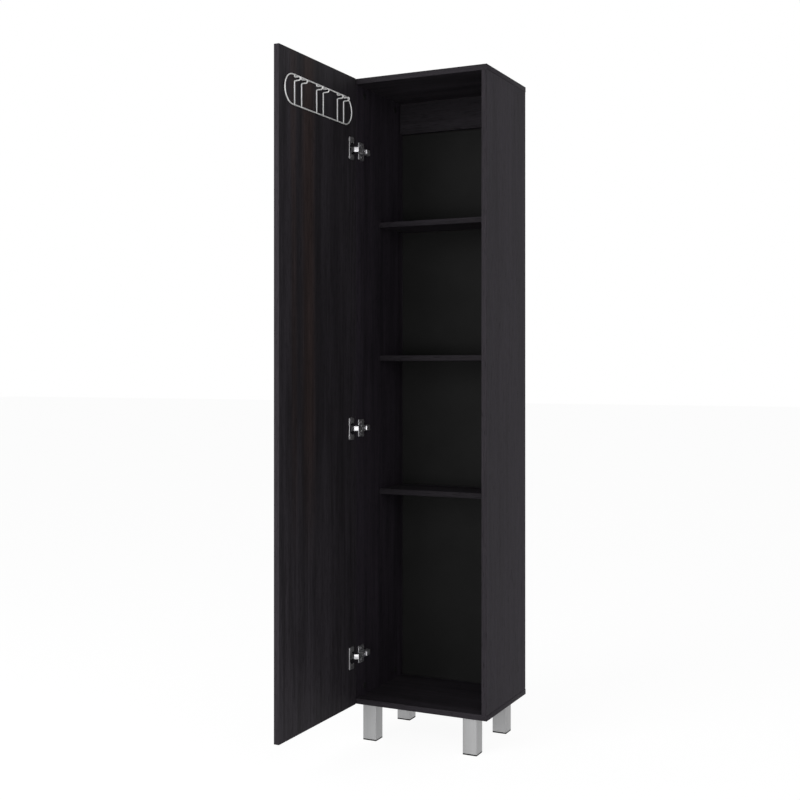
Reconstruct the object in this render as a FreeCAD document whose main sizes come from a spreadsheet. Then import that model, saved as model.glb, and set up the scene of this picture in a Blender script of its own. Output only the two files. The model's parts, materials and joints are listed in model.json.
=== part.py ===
import FreeCAD, Part
import os
import re
import Sketcher
from FreeCAD import Placement, Rotation, Vector

# A tall flat-pack broom cupboard on four square legs, with one door hung on
# three cup hinges and a wire hook rack inside the door. Millimetres, +Z up,
# the front towards -Y, the origin on the floor under the middle of the
# carcass. The door stands open, square to the front.

# Driving dimensions
SIZES = [
    # Carcass boards
    ("carcass_width", "400"),
    ("carcass_depth", "297"),
    ("carcass_height", "1715"),
    ("board", "15"),
    ("back_thick", "3"),
    ("back_margin", "2"),
    ("band_thick", "1"),
    ("rail_height", "90"),
    ("shelf_clear", "364"),
    ("shelf_setback", "141.5"),
    # Legs
    ("leg_length", "98"),
    ("leg_size", "40"),
    ("leg_wall", "2"),
    ("leg_side_inset", "32"),
    ("leg_front_inset", "9"),
    ("leg_rear_inset", "33"),
    ("leg_plate_thick", "4"),
    ("leg_screw_spread", "18"),
    ("leg_screw_shank", "4"),
    ("leg_screw_bite", "11"),
    ("leg_screw_head", "8"),
    ("leg_screw_head_thick", "2.5"),
    ("glide_thick", "3"),
    ("glide_plug", "10"),
    ("glide_clearance", "0.1"),
    # Dowels, cam bolts and cams
    ("dowel_diameter", "8"),
    ("dowel_end_bite", "20"),
    ("dowel_face_bite", "10"),
    ("bolt_diameter", "6"),
    ("bolt_face_bite", "10"),
    ("cam_diameter", "15"),
    ("cam_depth", "12"),
    ("cam_setback", "24"),
    ("cover_diameter", "17"),
    ("cover_thick", "1"),
    ("corner_cam_inset", "50"),
    ("corner_dowel_inset", "82"),
    ("shelf_dowel_inset", "24"),
    ("rail_dowel_inset", "22"),
    # Back panel nails
    ("nail_diameter", "1.4"),
    ("nail_length", "16"),
    ("nail_head", "3.5"),
    ("nail_head_thick", "1"),
    ("nail_end_gap", "60"),
    # Door and hinge axis
    ("door_gap", "3"),
    ("axis_inset", "7.5"),
    ("axis_depth", "9"),
    ("door_edge_round", "0.8"),
    ("lower_hinge_height", "132"),
    ("middle_hinge_height", "756"),
    ("upper_hinge_drop", "196"),
    # Hinge cups
    ("cup_diameter", "35"),
    ("cup_edge", "3"),
    ("cup_depth", "12.6"),
    ("cup_wall", "0.8"),
    ("flange_length", "61"),
    ("flange_width", "26.4"),
    ("flange_edge", "13.6"),
    ("flange_thick", "2"),
    ("rim_height", "0.8"),
    ("cup_screw_spread", "48"),
    ("cup_screw_edge", "30"),
    ("cup_screw_shank", "3.5"),
    ("cup_screw_bite", "10"),
    ("cup_screw_head", "7"),
    ("cup_screw_head_thick", "0.8"),
    # Hinge pins and arms
    ("pin_diameter", "2.8"),
    ("pin_clearance", "0.05"),
    ("knuckle_diameter", "4.8"),
    ("lug_gap", "0.4"),
    ("lug_thick", "2.5"),
    ("knuckle_width", "10"),
    ("nose_gap", "4.5"),
    ("nose_width", "13"),
    ("nose_thick", "2"),
    ("nose_rise", "9"),
    ("nose_lean", "5.2"),
    ("arm_wall", "1.5"),
    ("arm_clearance", "0.3"),
    ("arm_front", "10"),
    ("arm_length", "50"),
    ("clip_setback", "34"),
    ("clip_length", "17"),
    ("clip_width", "11"),
    ("clip_height", "2"),
    ("arm_screw_shank", "4"),
    ("arm_screw_bite", "3"),
    ("arm_screw_head", "8"),
    ("arm_screw_head_thick", "1"),
    ("fixing_screw_setback", "42"),
    ("adjusting_screw_setback", "19"),
    # Hinge mounting plates
    ("plate_thick", "3"),
    ("plate_setback", "26.3"),
    ("wing_length", "47.5"),
    ("wing_width", "30.5"),
    ("rib_setback", "14"),
    ("rib_length", "46"),
    ("rib_width", "12"),
    ("rib_height", "8.5"),
    ("plate_screw_spread", "32"),
    ("plate_screw_shank", "5"),
    ("plate_screw_bite", "11"),
    ("plate_screw_head", "8.5"),
    ("plate_screw_head_thick", "1.2"),
    # Wire hook rack
    ("wire_diameter", "3.5"),
    ("wire_bend", "3"),
    ("rack_width", "347"),
    ("rack_height", "74.8"),
    ("rack_drop", "62.6"),
    ("rack_stand", "3"),
    ("rack_shift", "3.7"),
    ("hook_end_gap", "62.9"),
    ("hook_pair_gap", "34.3"),
    ("hook_drop", "6.4"),
    ("hook_reach", "17"),
    ("hook_gap", "8.8"),
    ("stud_diameter", "4"),
    ("stud_bite", "8"),
    # How far a cutting tool runs past the face it opens
    ("overrun", "1"),
]

# Counts
NAILS_PER_SIDE = 8
NAILS_IN_RAIL = 3

# Planes of the carcass, as expressions of the sizes
LEFT = "(-carcass_width / 2)"
RIGHT = "(carcass_width / 2)"
LEFT_IN = f"({LEFT} + board)"
RIGHT_IN = f"({RIGHT} - board)"
LEFT_MID = f"({LEFT} + board / 2)"
RIGHT_MID = f"({RIGHT} - board / 2)"
INNER_WIDTH = "(carcass_width - 2 * board)"
FRONT = "(-carcass_depth / 2)"
REAR = "(carcass_depth / 2)"
SIDE_REAR = f"({REAR} - back_thick)"
BASE = "leg_length"
FLOOR_IN = f"({BASE} + board)"
TOP = f"({BASE} + carcass_height)"
CEILING = f"({TOP} - board)"
SIDE_HEIGHT = "(carcass_height - 2 * board)"
SIDE_DEPTH = "(carcass_depth - back_thick)"
SHELF_FRONT = f"({FRONT} + shelf_setback)"
SHELF_DEPTH = f"({SIDE_DEPTH} - shelf_setback)"
RAIL_FRONT = f"({SIDE_REAR} - board)"
RAIL_BASE = f"({CEILING} - rail_height)"

# The hinge axis, and the open door's planes measured from it
AXIS_X = f"({LEFT} + axis_inset)"
AXIS_Y = f"({FRONT} - door_gap - axis_depth)"
DOOR_IN = f"({AXIS_X} + axis_depth)"
DOOR_OUT = f"({DOOR_IN} - board)"
DOOR_EDGE = f"({AXIS_Y} + axis_inset)"
DOOR_FREE_EDGE = f"({DOOR_EDGE} - carcass_width)"

# Undersides of the shelves, from the lowest up
SHELVES = {
    "lower": f"({CEILING} - 3 * shelf_clear - 3 * board)",
    "middle": f"({CEILING} - 2 * shelf_clear - 2 * board)",
    "upper": f"({CEILING} - shelf_clear - board)",
}

# Centres of the hinges
HINGES = {
    "lower": f"({BASE} + lower_hinge_height)",
    "middle": f"({BASE} + middle_hinge_height)",
    "upper": f"({TOP} - upper_hinge_drop)",
}

AXIS_TURN = {
    "x": Rotation(Vector(0, 1, 0), 90),
    "y": Rotation(Vector(1, 0, 0), -90),
    "z": Rotation(),
}

doc = FreeCAD.newDocument("broom_cupboard")
sheet = doc.addObject("Spreadsheet::Sheet", "sizes")
for row, (alias, text) in enumerate(SIZES, start=1):
    sheet.set(f"A{row}", alias)
    sheet.set(f"B{row}", text)
    sheet.setAlias(f"B{row}", alias)
doc.recompute()

ALIAS = re.compile(r"\b(" + "|".join(alias for alias, text in SIZES) + r")\b")
subparts = []


# Helpers

def in_sheet(text):
    """Points each size named in an expression at its cell."""
    return ALIAS.sub(r"sizes.\1", text)


def bind(item, prop, text):
    """Binds one property to an expression of the sizes."""
    item.setExpression(prop, in_sheet(text))


def number(text):
    """Works out an expression of the sizes as a plain number."""
    return float(sheet.evalExpression(in_sheet(text)))


def place(item, corner, turn=Rotation()):
    """Turns an object and binds its place to three expressions."""
    item.Placement = Placement(Vector(), turn)
    for axis, text in zip("xyz", corner):
        bind(item, f"Placement.Base.{axis}", text)
    return item


def subpart(item, label):
    """Names a finished piece and lists it for writing."""
    item.Label = label
    subparts.append(item)
    return item


def box(name, corner, size):
    """A block from its lowest corner and its sizes along X, Y and Z."""
    item = doc.addObject("Part::Box", name)
    for prop, text in zip(("Length", "Width", "Height"), size):
        bind(item, prop, text)
    return place(item, corner)


def rod(name, start, axis, diameter, length):
    """A round bar from the centre of its first end, along +X, +Y or +Z."""
    item = doc.addObject("Part::Cylinder", name)
    bind(item, "Radius", f"({diameter}) / 2")
    bind(item, "Height", length)
    return place(item, start, AXIS_TURN[axis])


def fused(name, pieces):
    """One solid from overlapping blocks and bars."""
    item = doc.addObject("Part::MultiFuse", name)
    item.Shapes = pieces
    return item


def grouped(name, pieces):
    """Separate solids kept together as one object."""
    item = doc.addObject("Part::Compound", name)
    item.Links = pieces
    return item


def cut(name, base, tools):
    """A piece with the shapes of what passes through it taken away."""
    item = doc.addObject("Part::Cut", name)
    item.Base = base
    item.Tool = tools[0] if len(tools) == 1 else grouped(f"{name}_tools", tools)
    return item


def along(start, axis, distance):
    """A point moved along one axis by an expression."""
    moved = list(start)
    moved["xyz".index(axis)] = f"({start['xyz'.index(axis)]} + {distance})"
    return moved


def screw(name, seat, axis, side, sizes):
    """A screw whose head sits on a seat; side is + or - for where the head lies."""
    shank, shank_length, head, head_thick = sizes
    shank_start = seat if side == "-" else along(seat, axis, f"(-{shank_length})")
    head_start = seat if side == "+" else along(seat, axis, f"(-{head_thick})")
    shank_rod = rod(f"{name}_shank", shank_start, axis, shank, shank_length)
    head_rod = rod(f"{name}_head", head_start, axis, head, head_thick)
    return fused(name, [shank_rod, head_rod])


def rectangle(sketch, width, height):
    """Adds a rectangle about the sketch's origin, its sides bound to two expressions."""
    across = number(width) / 2
    up = number(height) / 2
    corners = [Vector(-across, -up), Vector(across, -up), Vector(across, up), Vector(-across, up)]
    first = sketch.GeometryCount
    for index, corner in enumerate(corners):
        sketch.addGeometry(Part.LineSegment(corner, corners[(index + 1) % 4]))
    for index in range(4):
        ends = (first + index, 2, first + (index + 1) % 4, 1)
        sketch.addConstraint(Sketcher.Constraint("Coincident", *ends))
        direction = "Horizontal" if index % 2 == 0 else "Vertical"
        sketch.addConstraint(Sketcher.Constraint(direction, first + index))
    sketch.addConstraint(Sketcher.Constraint("Symmetric", first, 1, first + 1, 2, -1, 1))
    wide = sketch.addConstraint(Sketcher.Constraint("DistanceX", first, 1, first, 2, 2 * across))
    tall = sketch.addConstraint(Sketcher.Constraint("DistanceY", first + 1, 1, first + 1, 2, 2 * up))
    bind(sketch, f"Constraints[{wide}]", width)
    bind(sketch, f"Constraints[{tall}]", height)


def pad_rectangles(body, name, plane, outlines, length):
    """Pads one sketch of nested rectangles up from one of a body's origin planes."""
    sketch = body.newObject("Sketcher::SketchObject", f"{name}_outline")
    support = [item for item in body.Origin.OriginFeatures if item.Role == plane][0]
    sketch.AttachmentSupport = [(support, "")]
    sketch.MapMode = "FlatFace"
    for width, height in outlines:
        rectangle(sketch, width, height)
    pad = body.newObject("PartDesign::Pad", name)
    pad.Profile = sketch
    bind(pad, "Length", length)
    return pad


# Dowels, bolts, cams and nails that hold the carcass together

def corner_stations(inset):
    """Plan points over each side, measured in from its front and rear edges."""
    for side, middle in (("left", LEFT_MID), ("right", RIGHT_MID)):
        yield side, "front", middle, f"({FRONT} + {inset})"
        yield side, "rear", middle, f"({SIDE_REAR} - {inset})"


def corner_hardware():
    """Dowels, cam bolts and cams between the sides and the top and bottom."""
    dowels = []
    bolts = []
    cams = []
    covers = []
    reach = "(cam_setback - cam_diameter / 4)"
    for side, end, x, y in corner_stations("corner_dowel_inset"):
        length = "dowel_end_bite + dowel_face_bite"
        low = (x, y, f"{FLOOR_IN} - dowel_face_bite")
        high = (x, y, f"{CEILING} - dowel_end_bite")
        dowels.append(rod(f"low_dowel_{side}_{end}", low, "z", "dowel_diameter", length))
        dowels.append(rod(f"high_dowel_{side}_{end}", high, "z", "dowel_diameter", length))
    for side, end, x, y in corner_stations("corner_cam_inset"):
        length = f"bolt_face_bite + {reach}"
        low = (x, y, f"{FLOOR_IN} - bolt_face_bite")
        high = (x, y, f"{CEILING} - {reach}")
        bolts.append(rod(f"low_bolt_{side}_{end}", low, "z", "bolt_diameter", length))
        bolts.append(rod(f"high_bolt_{side}_{end}", high, "z", "bolt_diameter", length))
        cam_x = f"({LEFT_IN} - cam_depth)" if side == "left" else RIGHT_IN
        cover_x = LEFT_IN if side == "left" else f"({RIGHT_IN} - cover_thick)"
        for level, z in (("low", f"{FLOOR_IN} + cam_setback"), ("high", f"{CEILING} - cam_setback")):
            name = f"{level}_{side}_{end}"
            cams.append(rod(f"cam_{name}", (cam_x, y, z), "x", "cam_diameter", "cam_depth"))
            covers.append(rod(f"cover_{name}", (cover_x, y, z), "x", "cover_diameter", "cover_thick"))
    return dowels, bolts, cams, covers


def shelf_hardware():
    """Dowels, cam bolts and cams between the shelves and the sides."""
    dowels = []
    bolts = []
    cams = []
    covers = []
    reach = "(cam_setback - cam_diameter / 4)"
    middle = f"({SHELF_FRONT} + {SIDE_REAR}) / 2"
    for shelf, underside in SHELVES.items():
        z = f"{underside} + board / 2"
        dowel_rows = (f"{SHELF_FRONT} + shelf_dowel_inset", f"{SIDE_REAR} - shelf_dowel_inset")
        for row, y in zip(("front", "rear"), dowel_rows):
            length = "dowel_face_bite + dowel_end_bite"
            left = (f"{LEFT_IN} - dowel_face_bite", y, z)
            right = (f"{RIGHT_IN} - dowel_end_bite", y, z)
            dowels.append(rod(f"{shelf}_dowel_left_{row}", left, "x", "dowel_diameter", length))
            dowels.append(rod(f"{shelf}_dowel_right_{row}", right, "x", "dowel_diameter", length))
        length = f"bolt_face_bite + {reach}"
        left = (f"{LEFT_IN} - bolt_face_bite", middle, z)
        right = (f"{RIGHT_IN} - {reach}", middle, z)
        bolts.append(rod(f"{shelf}_bolt_left", left, "x", "bolt_diameter", length))
        bolts.append(rod(f"{shelf}_bolt_right", right, "x", "bolt_diameter", length))
        for side, x in (("left", f"{LEFT_IN} + cam_setback"), ("right", f"{RIGHT_IN} - cam_setback")):
            name = f"{shelf}_{side}"
            cover_start = (x, middle, f"{underside} - cover_thick")
            cams.append(rod(f"cam_{name}", (x, middle, underside), "z", "cam_diameter", "cam_depth"))
            covers.append(rod(f"cover_{name}", cover_start, "z", "cover_diameter", "cover_thick"))
    return dowels, bolts, cams, covers


def rail_hardware():
    """Dowels, cam bolts and cams between the back rail and the sides."""
    dowels = []
    bolts = []
    cams = []
    reach = "(cam_setback - cam_diameter / 4)"
    y = f"{RAIL_FRONT} + board / 2"
    middle = f"{RAIL_BASE} + rail_height / 2"
    rows = (f"{RAIL_BASE} + rail_dowel_inset", f"{CEILING} - rail_dowel_inset")
    for row, z in zip(("low", "high"), rows):
        length = "dowel_face_bite + dowel_end_bite"
        left = (f"{LEFT_IN} - dowel_face_bite", y, z)
        right = (f"{RIGHT_IN} - dowel_end_bite", y, z)
        dowels.append(rod(f"rail_dowel_left_{row}", left, "x", "dowel_diameter", length))
        dowels.append(rod(f"rail_dowel_right_{row}", right, "x", "dowel_diameter", length))
    length = f"bolt_face_bite + {reach}"
    left = (f"{LEFT_IN} - bolt_face_bite", y, middle)
    right = (f"{RIGHT_IN} - {reach}", y, middle)
    bolts.append(rod("rail_bolt_left", left, "x", "bolt_diameter", length))
    bolts.append(rod("rail_bolt_right", right, "x", "bolt_diameter", length))
    for side, x in (("left", f"{LEFT_IN} + cam_setback"), ("right", f"{RIGHT_IN} - cam_setback")):
        start = (x, f"{SIDE_REAR} - cam_depth", middle)
        cams.append(rod(f"rail_cam_{side}", start, "y", "cam_diameter", "cam_depth"))
    return dowels, bolts, cams


def nail(name, x, z):
    """A nail driven forwards through the back panel, its head flush with the rear."""
    shank_start = (x, f"{REAR} - nail_length", z)
    head_start = (x, f"{REAR} - nail_head_thick", z)
    shank = rod(f"{name}_shank", shank_start, "y", "nail_diameter", "nail_length")
    head = rod(f"{name}_head", head_start, "y", "nail_head", "nail_head_thick")
    return fused(name, [shank, head])


def back_nails():
    """Rows of nails up both sides, and one along the back rail."""
    nails = []
    run = f"({SIDE_HEIGHT} - 2 * nail_end_gap)"
    for side, x in (("left", LEFT_MID), ("right", RIGHT_MID)):
        for step in range(NAILS_PER_SIDE):
            z = f"{FLOOR_IN} + nail_end_gap + {run} * {step} / {NAILS_PER_SIDE - 1}"
            nails.append(nail(f"nail_{side}_{step}", x, z))
    span = f"({INNER_WIDTH} - 2 * nail_end_gap)"
    for step in range(NAILS_IN_RAIL):
        x = f"{LEFT_IN} + nail_end_gap + {span} * {step} / {NAILS_IN_RAIL - 1}"
        nails.append(nail(f"nail_rail_{step}", x, f"{RAIL_BASE} + rail_height / 4"))
    return nails


def holding_hardware():
    """Groups what holds the carcass together, and returns the groups by name."""
    corner = corner_hardware()
    shelf = shelf_hardware()
    rail = rail_hardware()
    groups = {
        "corner_dowels": corner[0],
        "corner_cam_bolts": corner[1],
        "shelf_dowels": shelf[0],
        "shelf_cam_bolts": shelf[1],
        "rail_dowels": rail[0],
        "rail_cam_bolts": rail[1],
        "cam_covers": corner[3] + shelf[3],
        "back_nails": back_nails(),
    }
    made = {}
    for label, pieces in groups.items():
        made[label] = subpart(grouped(f"{label}_group", pieces), label)
    bores = {"corner_cams": corner[2], "shelf_cams": shelf[2], "rail_cams": rail[2]}
    for label, pieces in bores.items():
        kind = label.split("_")[0]
        made[f"{label}_bores"] = grouped(f"{label}_bores", pieces)
        cams = cut(f"{label}_cut", made[f"{label}_bores"], [made[f"{kind}_cam_bolts"]])
        made[label] = subpart(cams, label)
    return made


# Boards of the carcass

def side_panels(held, screws):
    """The two sides, standing between the bottom and the top."""
    names = ("corner_dowels", "corner_cam_bolts", "corner_cams_bores", "shelf_dowels",
             "shelf_cam_bolts", "rail_dowels", "rail_cam_bolts", "back_nails")
    tools = [held[name] for name in names]
    size = ("board", f"{SIDE_DEPTH} - band_thick", SIDE_HEIGHT)
    for side, x, extra in (("left", LEFT, [screws]), ("right", RIGHT_IN, [])):
        blank = box(f"{side}_side_blank", (x, f"{FRONT} + band_thick", FLOOR_IN), size)
        subpart(cut(f"{side}_side_bored", blank, tools + extra), f"{side}_side_panel")


def end_panels(held, screws):
    """The bottom and the top, which cap the sides over their full width."""
    tools = [held["corner_dowels"], held["corner_cam_bolts"]]
    size = ("carcass_width - 2 * band_thick", "carcass_depth - band_thick", "board")
    for name, z, extra in (("bottom", BASE, [screws]), ("top", CEILING, [])):
        corner = (f"{LEFT} + band_thick", f"{FRONT} + band_thick", z)
        blank = box(f"{name}_blank", corner, size)
        subpart(cut(f"{name}_bored", blank, tools + extra), f"{name}_panel")


def back_panel(held):
    """The thin back, nailed behind the sides between the bottom and the top."""
    corner = (f"{LEFT} + back_margin", SIDE_REAR, FLOOR_IN)
    size = ("carcass_width - 2 * back_margin", "back_thick", SIDE_HEIGHT)
    blank = box("back_blank", corner, size)
    subpart(cut("back_bored", blank, [held["back_nails"]]), "back_panel")


def back_rail(held):
    """The upright rail under the top, in front of the back panel."""
    blank = box("rail_blank", (LEFT_IN, RAIL_FRONT, RAIL_BASE), (INNER_WIDTH, "board", "rail_height"))
    names = ("rail_dowels", "rail_cam_bolts", "rail_cams_bores", "back_nails")
    subpart(cut("rail_bored", blank, [held[name] for name in names]), "back_rail")


def shelves(held):
    """The three shallow shelves, set back behind the front."""
    tools = [held[name] for name in ("shelf_dowels", "shelf_cam_bolts", "shelf_cams_bores")]
    for shelf, underside in SHELVES.items():
        corner = (LEFT_IN, f"{SHELF_FRONT} + band_thick", underside)
        size = (INNER_WIDTH, f"{SHELF_DEPTH} - band_thick", "board")
        blank = box(f"{shelf}_shelf_blank", corner, size)
        subpart(cut(f"{shelf}_shelf_bored", blank, tools), f"{shelf}_shelf")


def edge_bands():
    """The glued strips on the edges that show."""
    strips = []
    for side, x in (("left", LEFT), ("right", RIGHT_IN)):
        strips.append(box(f"{side}_band", (x, FRONT, FLOOR_IN), ("board", "band_thick", SIDE_HEIGHT)))
    for name, z in (("bottom", BASE), ("top", CEILING)):
        front_size = ("carcass_width", "band_thick", "board")
        strips.append(box(f"{name}_front_band", (LEFT, FRONT, z), front_size))
        end_size = ("band_thick", "carcass_depth - band_thick", "board")
        for side, x in (("left", LEFT), ("right", f"{RIGHT} - band_thick")):
            corner = (x, f"{FRONT} + band_thick", z)
            strips.append(box(f"{name}_{side}_band", corner, end_size))
    subpart(grouped("carcass_band_group", strips), "carcass_edge_bands")
    size = (INNER_WIDTH, "band_thick", "board")
    strips = [box(f"{shelf}_shelf_band", (LEFT_IN, SHELF_FRONT, underside), size)
              for shelf, underside in SHELVES.items()]
    subpart(grouped("shelf_band_group", strips), "shelf_edge_bands")


# Legs

def leg_stations():
    """The name and the plan centre of each leg."""
    side_offset = "(leg_side_inset + leg_size / 2)"
    for row, y in (("front", f"({FRONT} + leg_front_inset + leg_size / 2)"),
                   ("rear", f"({REAR} - leg_rear_inset - leg_size / 2)")):
        yield f"{row}_left", f"({LEFT} + {side_offset})", y
        yield f"{row}_right", f"({RIGHT} - {side_offset})", y


def legs():
    """Square tubes, their top plates and their pressed-in glides; returns the screws."""
    bore = "(leg_size - 2 * leg_wall)"
    plate_z = f"({BASE} - leg_plate_thick)"
    sizes = ("leg_screw_shank", "(leg_plate_thick + leg_screw_bite)",
             "leg_screw_head", "leg_screw_head_thick")
    screws = []
    for name, x, y in leg_stations():
        for dx in "-+":
            for dy in "-+":
                seat = (f"{x} {dx} leg_screw_spread / 2", f"{y} {dy} leg_screw_spread / 2", plate_z)
                screws.append(screw(f"{name}_screw_{len(screws)}", seat, "z", "-", sizes))
    screw_group = subpart(grouped("leg_screw_group", screws), "leg_screws")
    for name, x, y in leg_stations():
        tube = doc.addObject("PartDesign::Body", f"{name}_tube")
        outlines = [("leg_size", "leg_size"), (bore, bore)]
        pad_rectangles(tube, f"{name}_tube_pad", "XY_Plane", outlines, f"{BASE} - glide_thick")
        subpart(place(tube, (x, y, "glide_thick")), f"{name}_leg")
        corner = (f"{x} - {bore} / 2", f"{y} - {bore} / 2", plate_z)
        blank = box(f"{name}_plate_blank", corner, (bore, bore, "leg_plate_thick"))
        subpart(cut(f"{name}_plate_drilled", blank, [screw_group]), f"{name}_leg_plate")
        plug = f"({bore} - 2 * glide_clearance)"
        glide = doc.addObject("PartDesign::Body", f"{name}_foot")
        pad_rectangles(glide, f"{name}_foot_pad", "XY_Plane", [("leg_size", "leg_size")], "glide_thick")
        plug_length = "glide_thick + glide_plug"
        pad_rectangles(glide, f"{name}_plug_pad", "XY_Plane", [(plug, plug)], plug_length)
        subpart(place(glide, (x, y, "0")), f"{name}_leg_glide")
    return screw_group


# Hinges

ARM_TOP = f"({LEFT_IN} + plate_thick + rib_height + arm_wall)"
RIB_TOP = f"({ARM_TOP} - arm_wall)"
RIB_FRONT = f"({FRONT} + rib_setback)"
LUG_SPAN = "(knuckle_width + 2 * lug_gap + 2 * lug_thick)"
CUP_Y = f"({DOOR_EDGE} - cup_edge - cup_diameter / 2)"


def plate_screws():
    """The pair of screws that holds each mounting plate to the left side."""
    screws = []
    sizes = ("plate_screw_shank", "(plate_thick + plate_screw_bite)",
             "plate_screw_head", "plate_screw_head_thick")
    for hinge, z in HINGES.items():
        for sign in "-+":
            seat = (f"({LEFT_IN} + plate_thick)", f"{FRONT} + plate_setback",
                    f"{z} {sign} plate_screw_spread / 2")
            screws.append(screw(f"{hinge}_plate_screw_{len(screws)}", seat, "x", "+", sizes))
    return subpart(grouped("plate_screw_group", screws), "hinge_plate_screws")


def arm_screws(kind, setback, rise):
    """One screw in each arm, from its seat above the wall into the rib of the plate."""
    screws = []
    length = f"({rise} + arm_wall + arm_screw_bite)"
    sizes = ("arm_screw_shank", length, "arm_screw_head", "arm_screw_head_thick")
    for hinge, z in HINGES.items():
        seat = (f"({ARM_TOP} + {rise})", f"{FRONT} + {setback}", z)
        screws.append(screw(f"{hinge}_{kind}_screw", seat, "x", "+", sizes))
    return subpart(grouped(f"{kind}_screw_group", screws), f"hinge_{kind}_screws")


def hinge_plate(hinge, z, tools):
    """A cross-shaped mounting plate with a raised rib that the arm slides over."""
    wings = box(f"{hinge}_wings",
                (LEFT_IN, f"{FRONT} + plate_setback - wing_width / 2", f"{z} - wing_length / 2"),
                ("plate_thick", "wing_width", "wing_length"))
    rib = box(f"{hinge}_rib", (LEFT_IN, RIB_FRONT, f"{z} - rib_width / 2"),
              ("plate_thick + rib_height", "rib_length", "rib_width"))
    blank = fused(f"{hinge}_plate_blank", [wings, rib])
    subpart(cut(f"{hinge}_plate_drilled", blank, tools), f"{hinge}_hinge_plate")


NOSE_FRONT = f"({AXIS_Y} - knuckle_diameter / 2)"
NOSE_START = f"({AXIS_X} + nose_gap)"
SLOPE_START = f"({AXIS_X} + nose_rise)"
SLOPE_END = f"({NOSE_FRONT} + nose_lean)"


def nose_slope(hinge, z):
    """The leaning front of the nose, from above the cup's rim up to the top of the arm."""
    slope = doc.addObject("Part::Wedge", f"{hinge}_nose_slope")
    spans = {
        "Xmin": "0", "Xmax": "nose_thick",
        "X2min": "nose_lean", "X2max": "nose_lean + nose_thick",
        "Ymin": "0", "Ymax": f"{ARM_TOP} - {SLOPE_START}",
        "Zmin": "0", "Zmax": "nose_width",
        "Z2min": "0", "Z2max": "nose_width",
    }
    for prop, text in spans.items():
        bind(slope, prop, text)
    top_corner = (SLOPE_START, NOSE_FRONT, f"{z} + nose_width / 2")
    return place(slope, top_corner, Rotation(Vector(1, 1, 0), 180))


def hinge_arm(hinge, z, tools):
    """A channel over the plate's rib, with a leaning nose that ends in a knuckle round the pin."""
    knuckle_low = f"{z} - knuckle_width / 2"
    nose_low = f"{z} - nose_width / 2"
    arm_width = "(rib_width + 2 * arm_clearance + 2 * arm_wall)"
    arm_start = f"({FRONT} + arm_front)"
    flange_inner = f"({LEFT_IN} + plate_thick + arm_clearance)"
    flange_size = (f"{ARM_TOP} - {flange_inner}", "arm_length", "arm_wall")
    pieces = [
        rod(f"{hinge}_knuckle", (AXIS_X, AXIS_Y, knuckle_low), "z", "knuckle_diameter", "knuckle_width"),
        box(f"{hinge}_nose_tongue", (AXIS_X, NOSE_FRONT, knuckle_low),
            ("nose_gap", "nose_thick", "knuckle_width")),
        box(f"{hinge}_nose_bar", (NOSE_START, NOSE_FRONT, nose_low),
            (f"{SLOPE_START} - {NOSE_START}", "nose_thick", "nose_width")),
        nose_slope(hinge, z),
        box(f"{hinge}_nose_plate", (f"({ARM_TOP} - nose_thick)", SLOPE_END, nose_low),
            ("nose_thick", f"{RIB_FRONT} - arm_clearance - {SLOPE_END}", "nose_width")),
        box(f"{hinge}_arm_web", (RIB_TOP, arm_start, f"{z} - {arm_width} / 2"),
            ("arm_wall", "arm_length", arm_width)),
        box(f"{hinge}_arm_low_flange", (flange_inner, arm_start, f"{z} - {arm_width} / 2"), flange_size),
        box(f"{hinge}_arm_high_flange", (flange_inner, arm_start, f"{z} + {arm_width} / 2 - arm_wall"),
            flange_size),
        box(f"{hinge}_clip", (RIB_TOP, f"{FRONT} + clip_setback", f"{z} - clip_width / 2"),
            ("arm_wall + clip_height", "clip_length", "clip_width")),
    ]
    bore = rod(f"{hinge}_knuckle_bore", (AXIS_X, AXIS_Y, f"{knuckle_low} - overrun"), "z",
               "pin_diameter + 2 * pin_clearance", "knuckle_width + 2 * overrun")
    blank = fused(f"{hinge}_arm_blank", pieces)
    subpart(cut(f"{hinge}_arm_drilled", blank, [bore] + tools), f"{hinge}_hinge_arm")


def hinge_pins():
    """The pivot pins, held in the lugs of the cups."""
    pins = [rod(f"{hinge}_pin", (AXIS_X, AXIS_Y, f"{z} - {LUG_SPAN} / 2"), "z", "pin_diameter", LUG_SPAN)
            for hinge, z in HINGES.items()]
    return subpart(grouped("hinge_pin_group", pins), "hinge_pins")


def cup_screws():
    """The pair of screws that holds each cup's flange to the door."""
    screws = []
    sizes = ("cup_screw_shank", "(flange_thick + cup_screw_bite)", "cup_screw_head", "cup_screw_head_thick")
    for hinge, z in HINGES.items():
        for sign in "-+":
            seat = (f"({DOOR_IN} + flange_thick)", f"{DOOR_EDGE} - cup_screw_edge",
                    f"{z} {sign} cup_screw_spread / 2")
            screws.append(screw(f"{hinge}_cup_screw_{len(screws)}", seat, "x", "+", sizes))
    return subpart(grouped("cup_screw_group", screws), "hinge_cup_screws")


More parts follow.
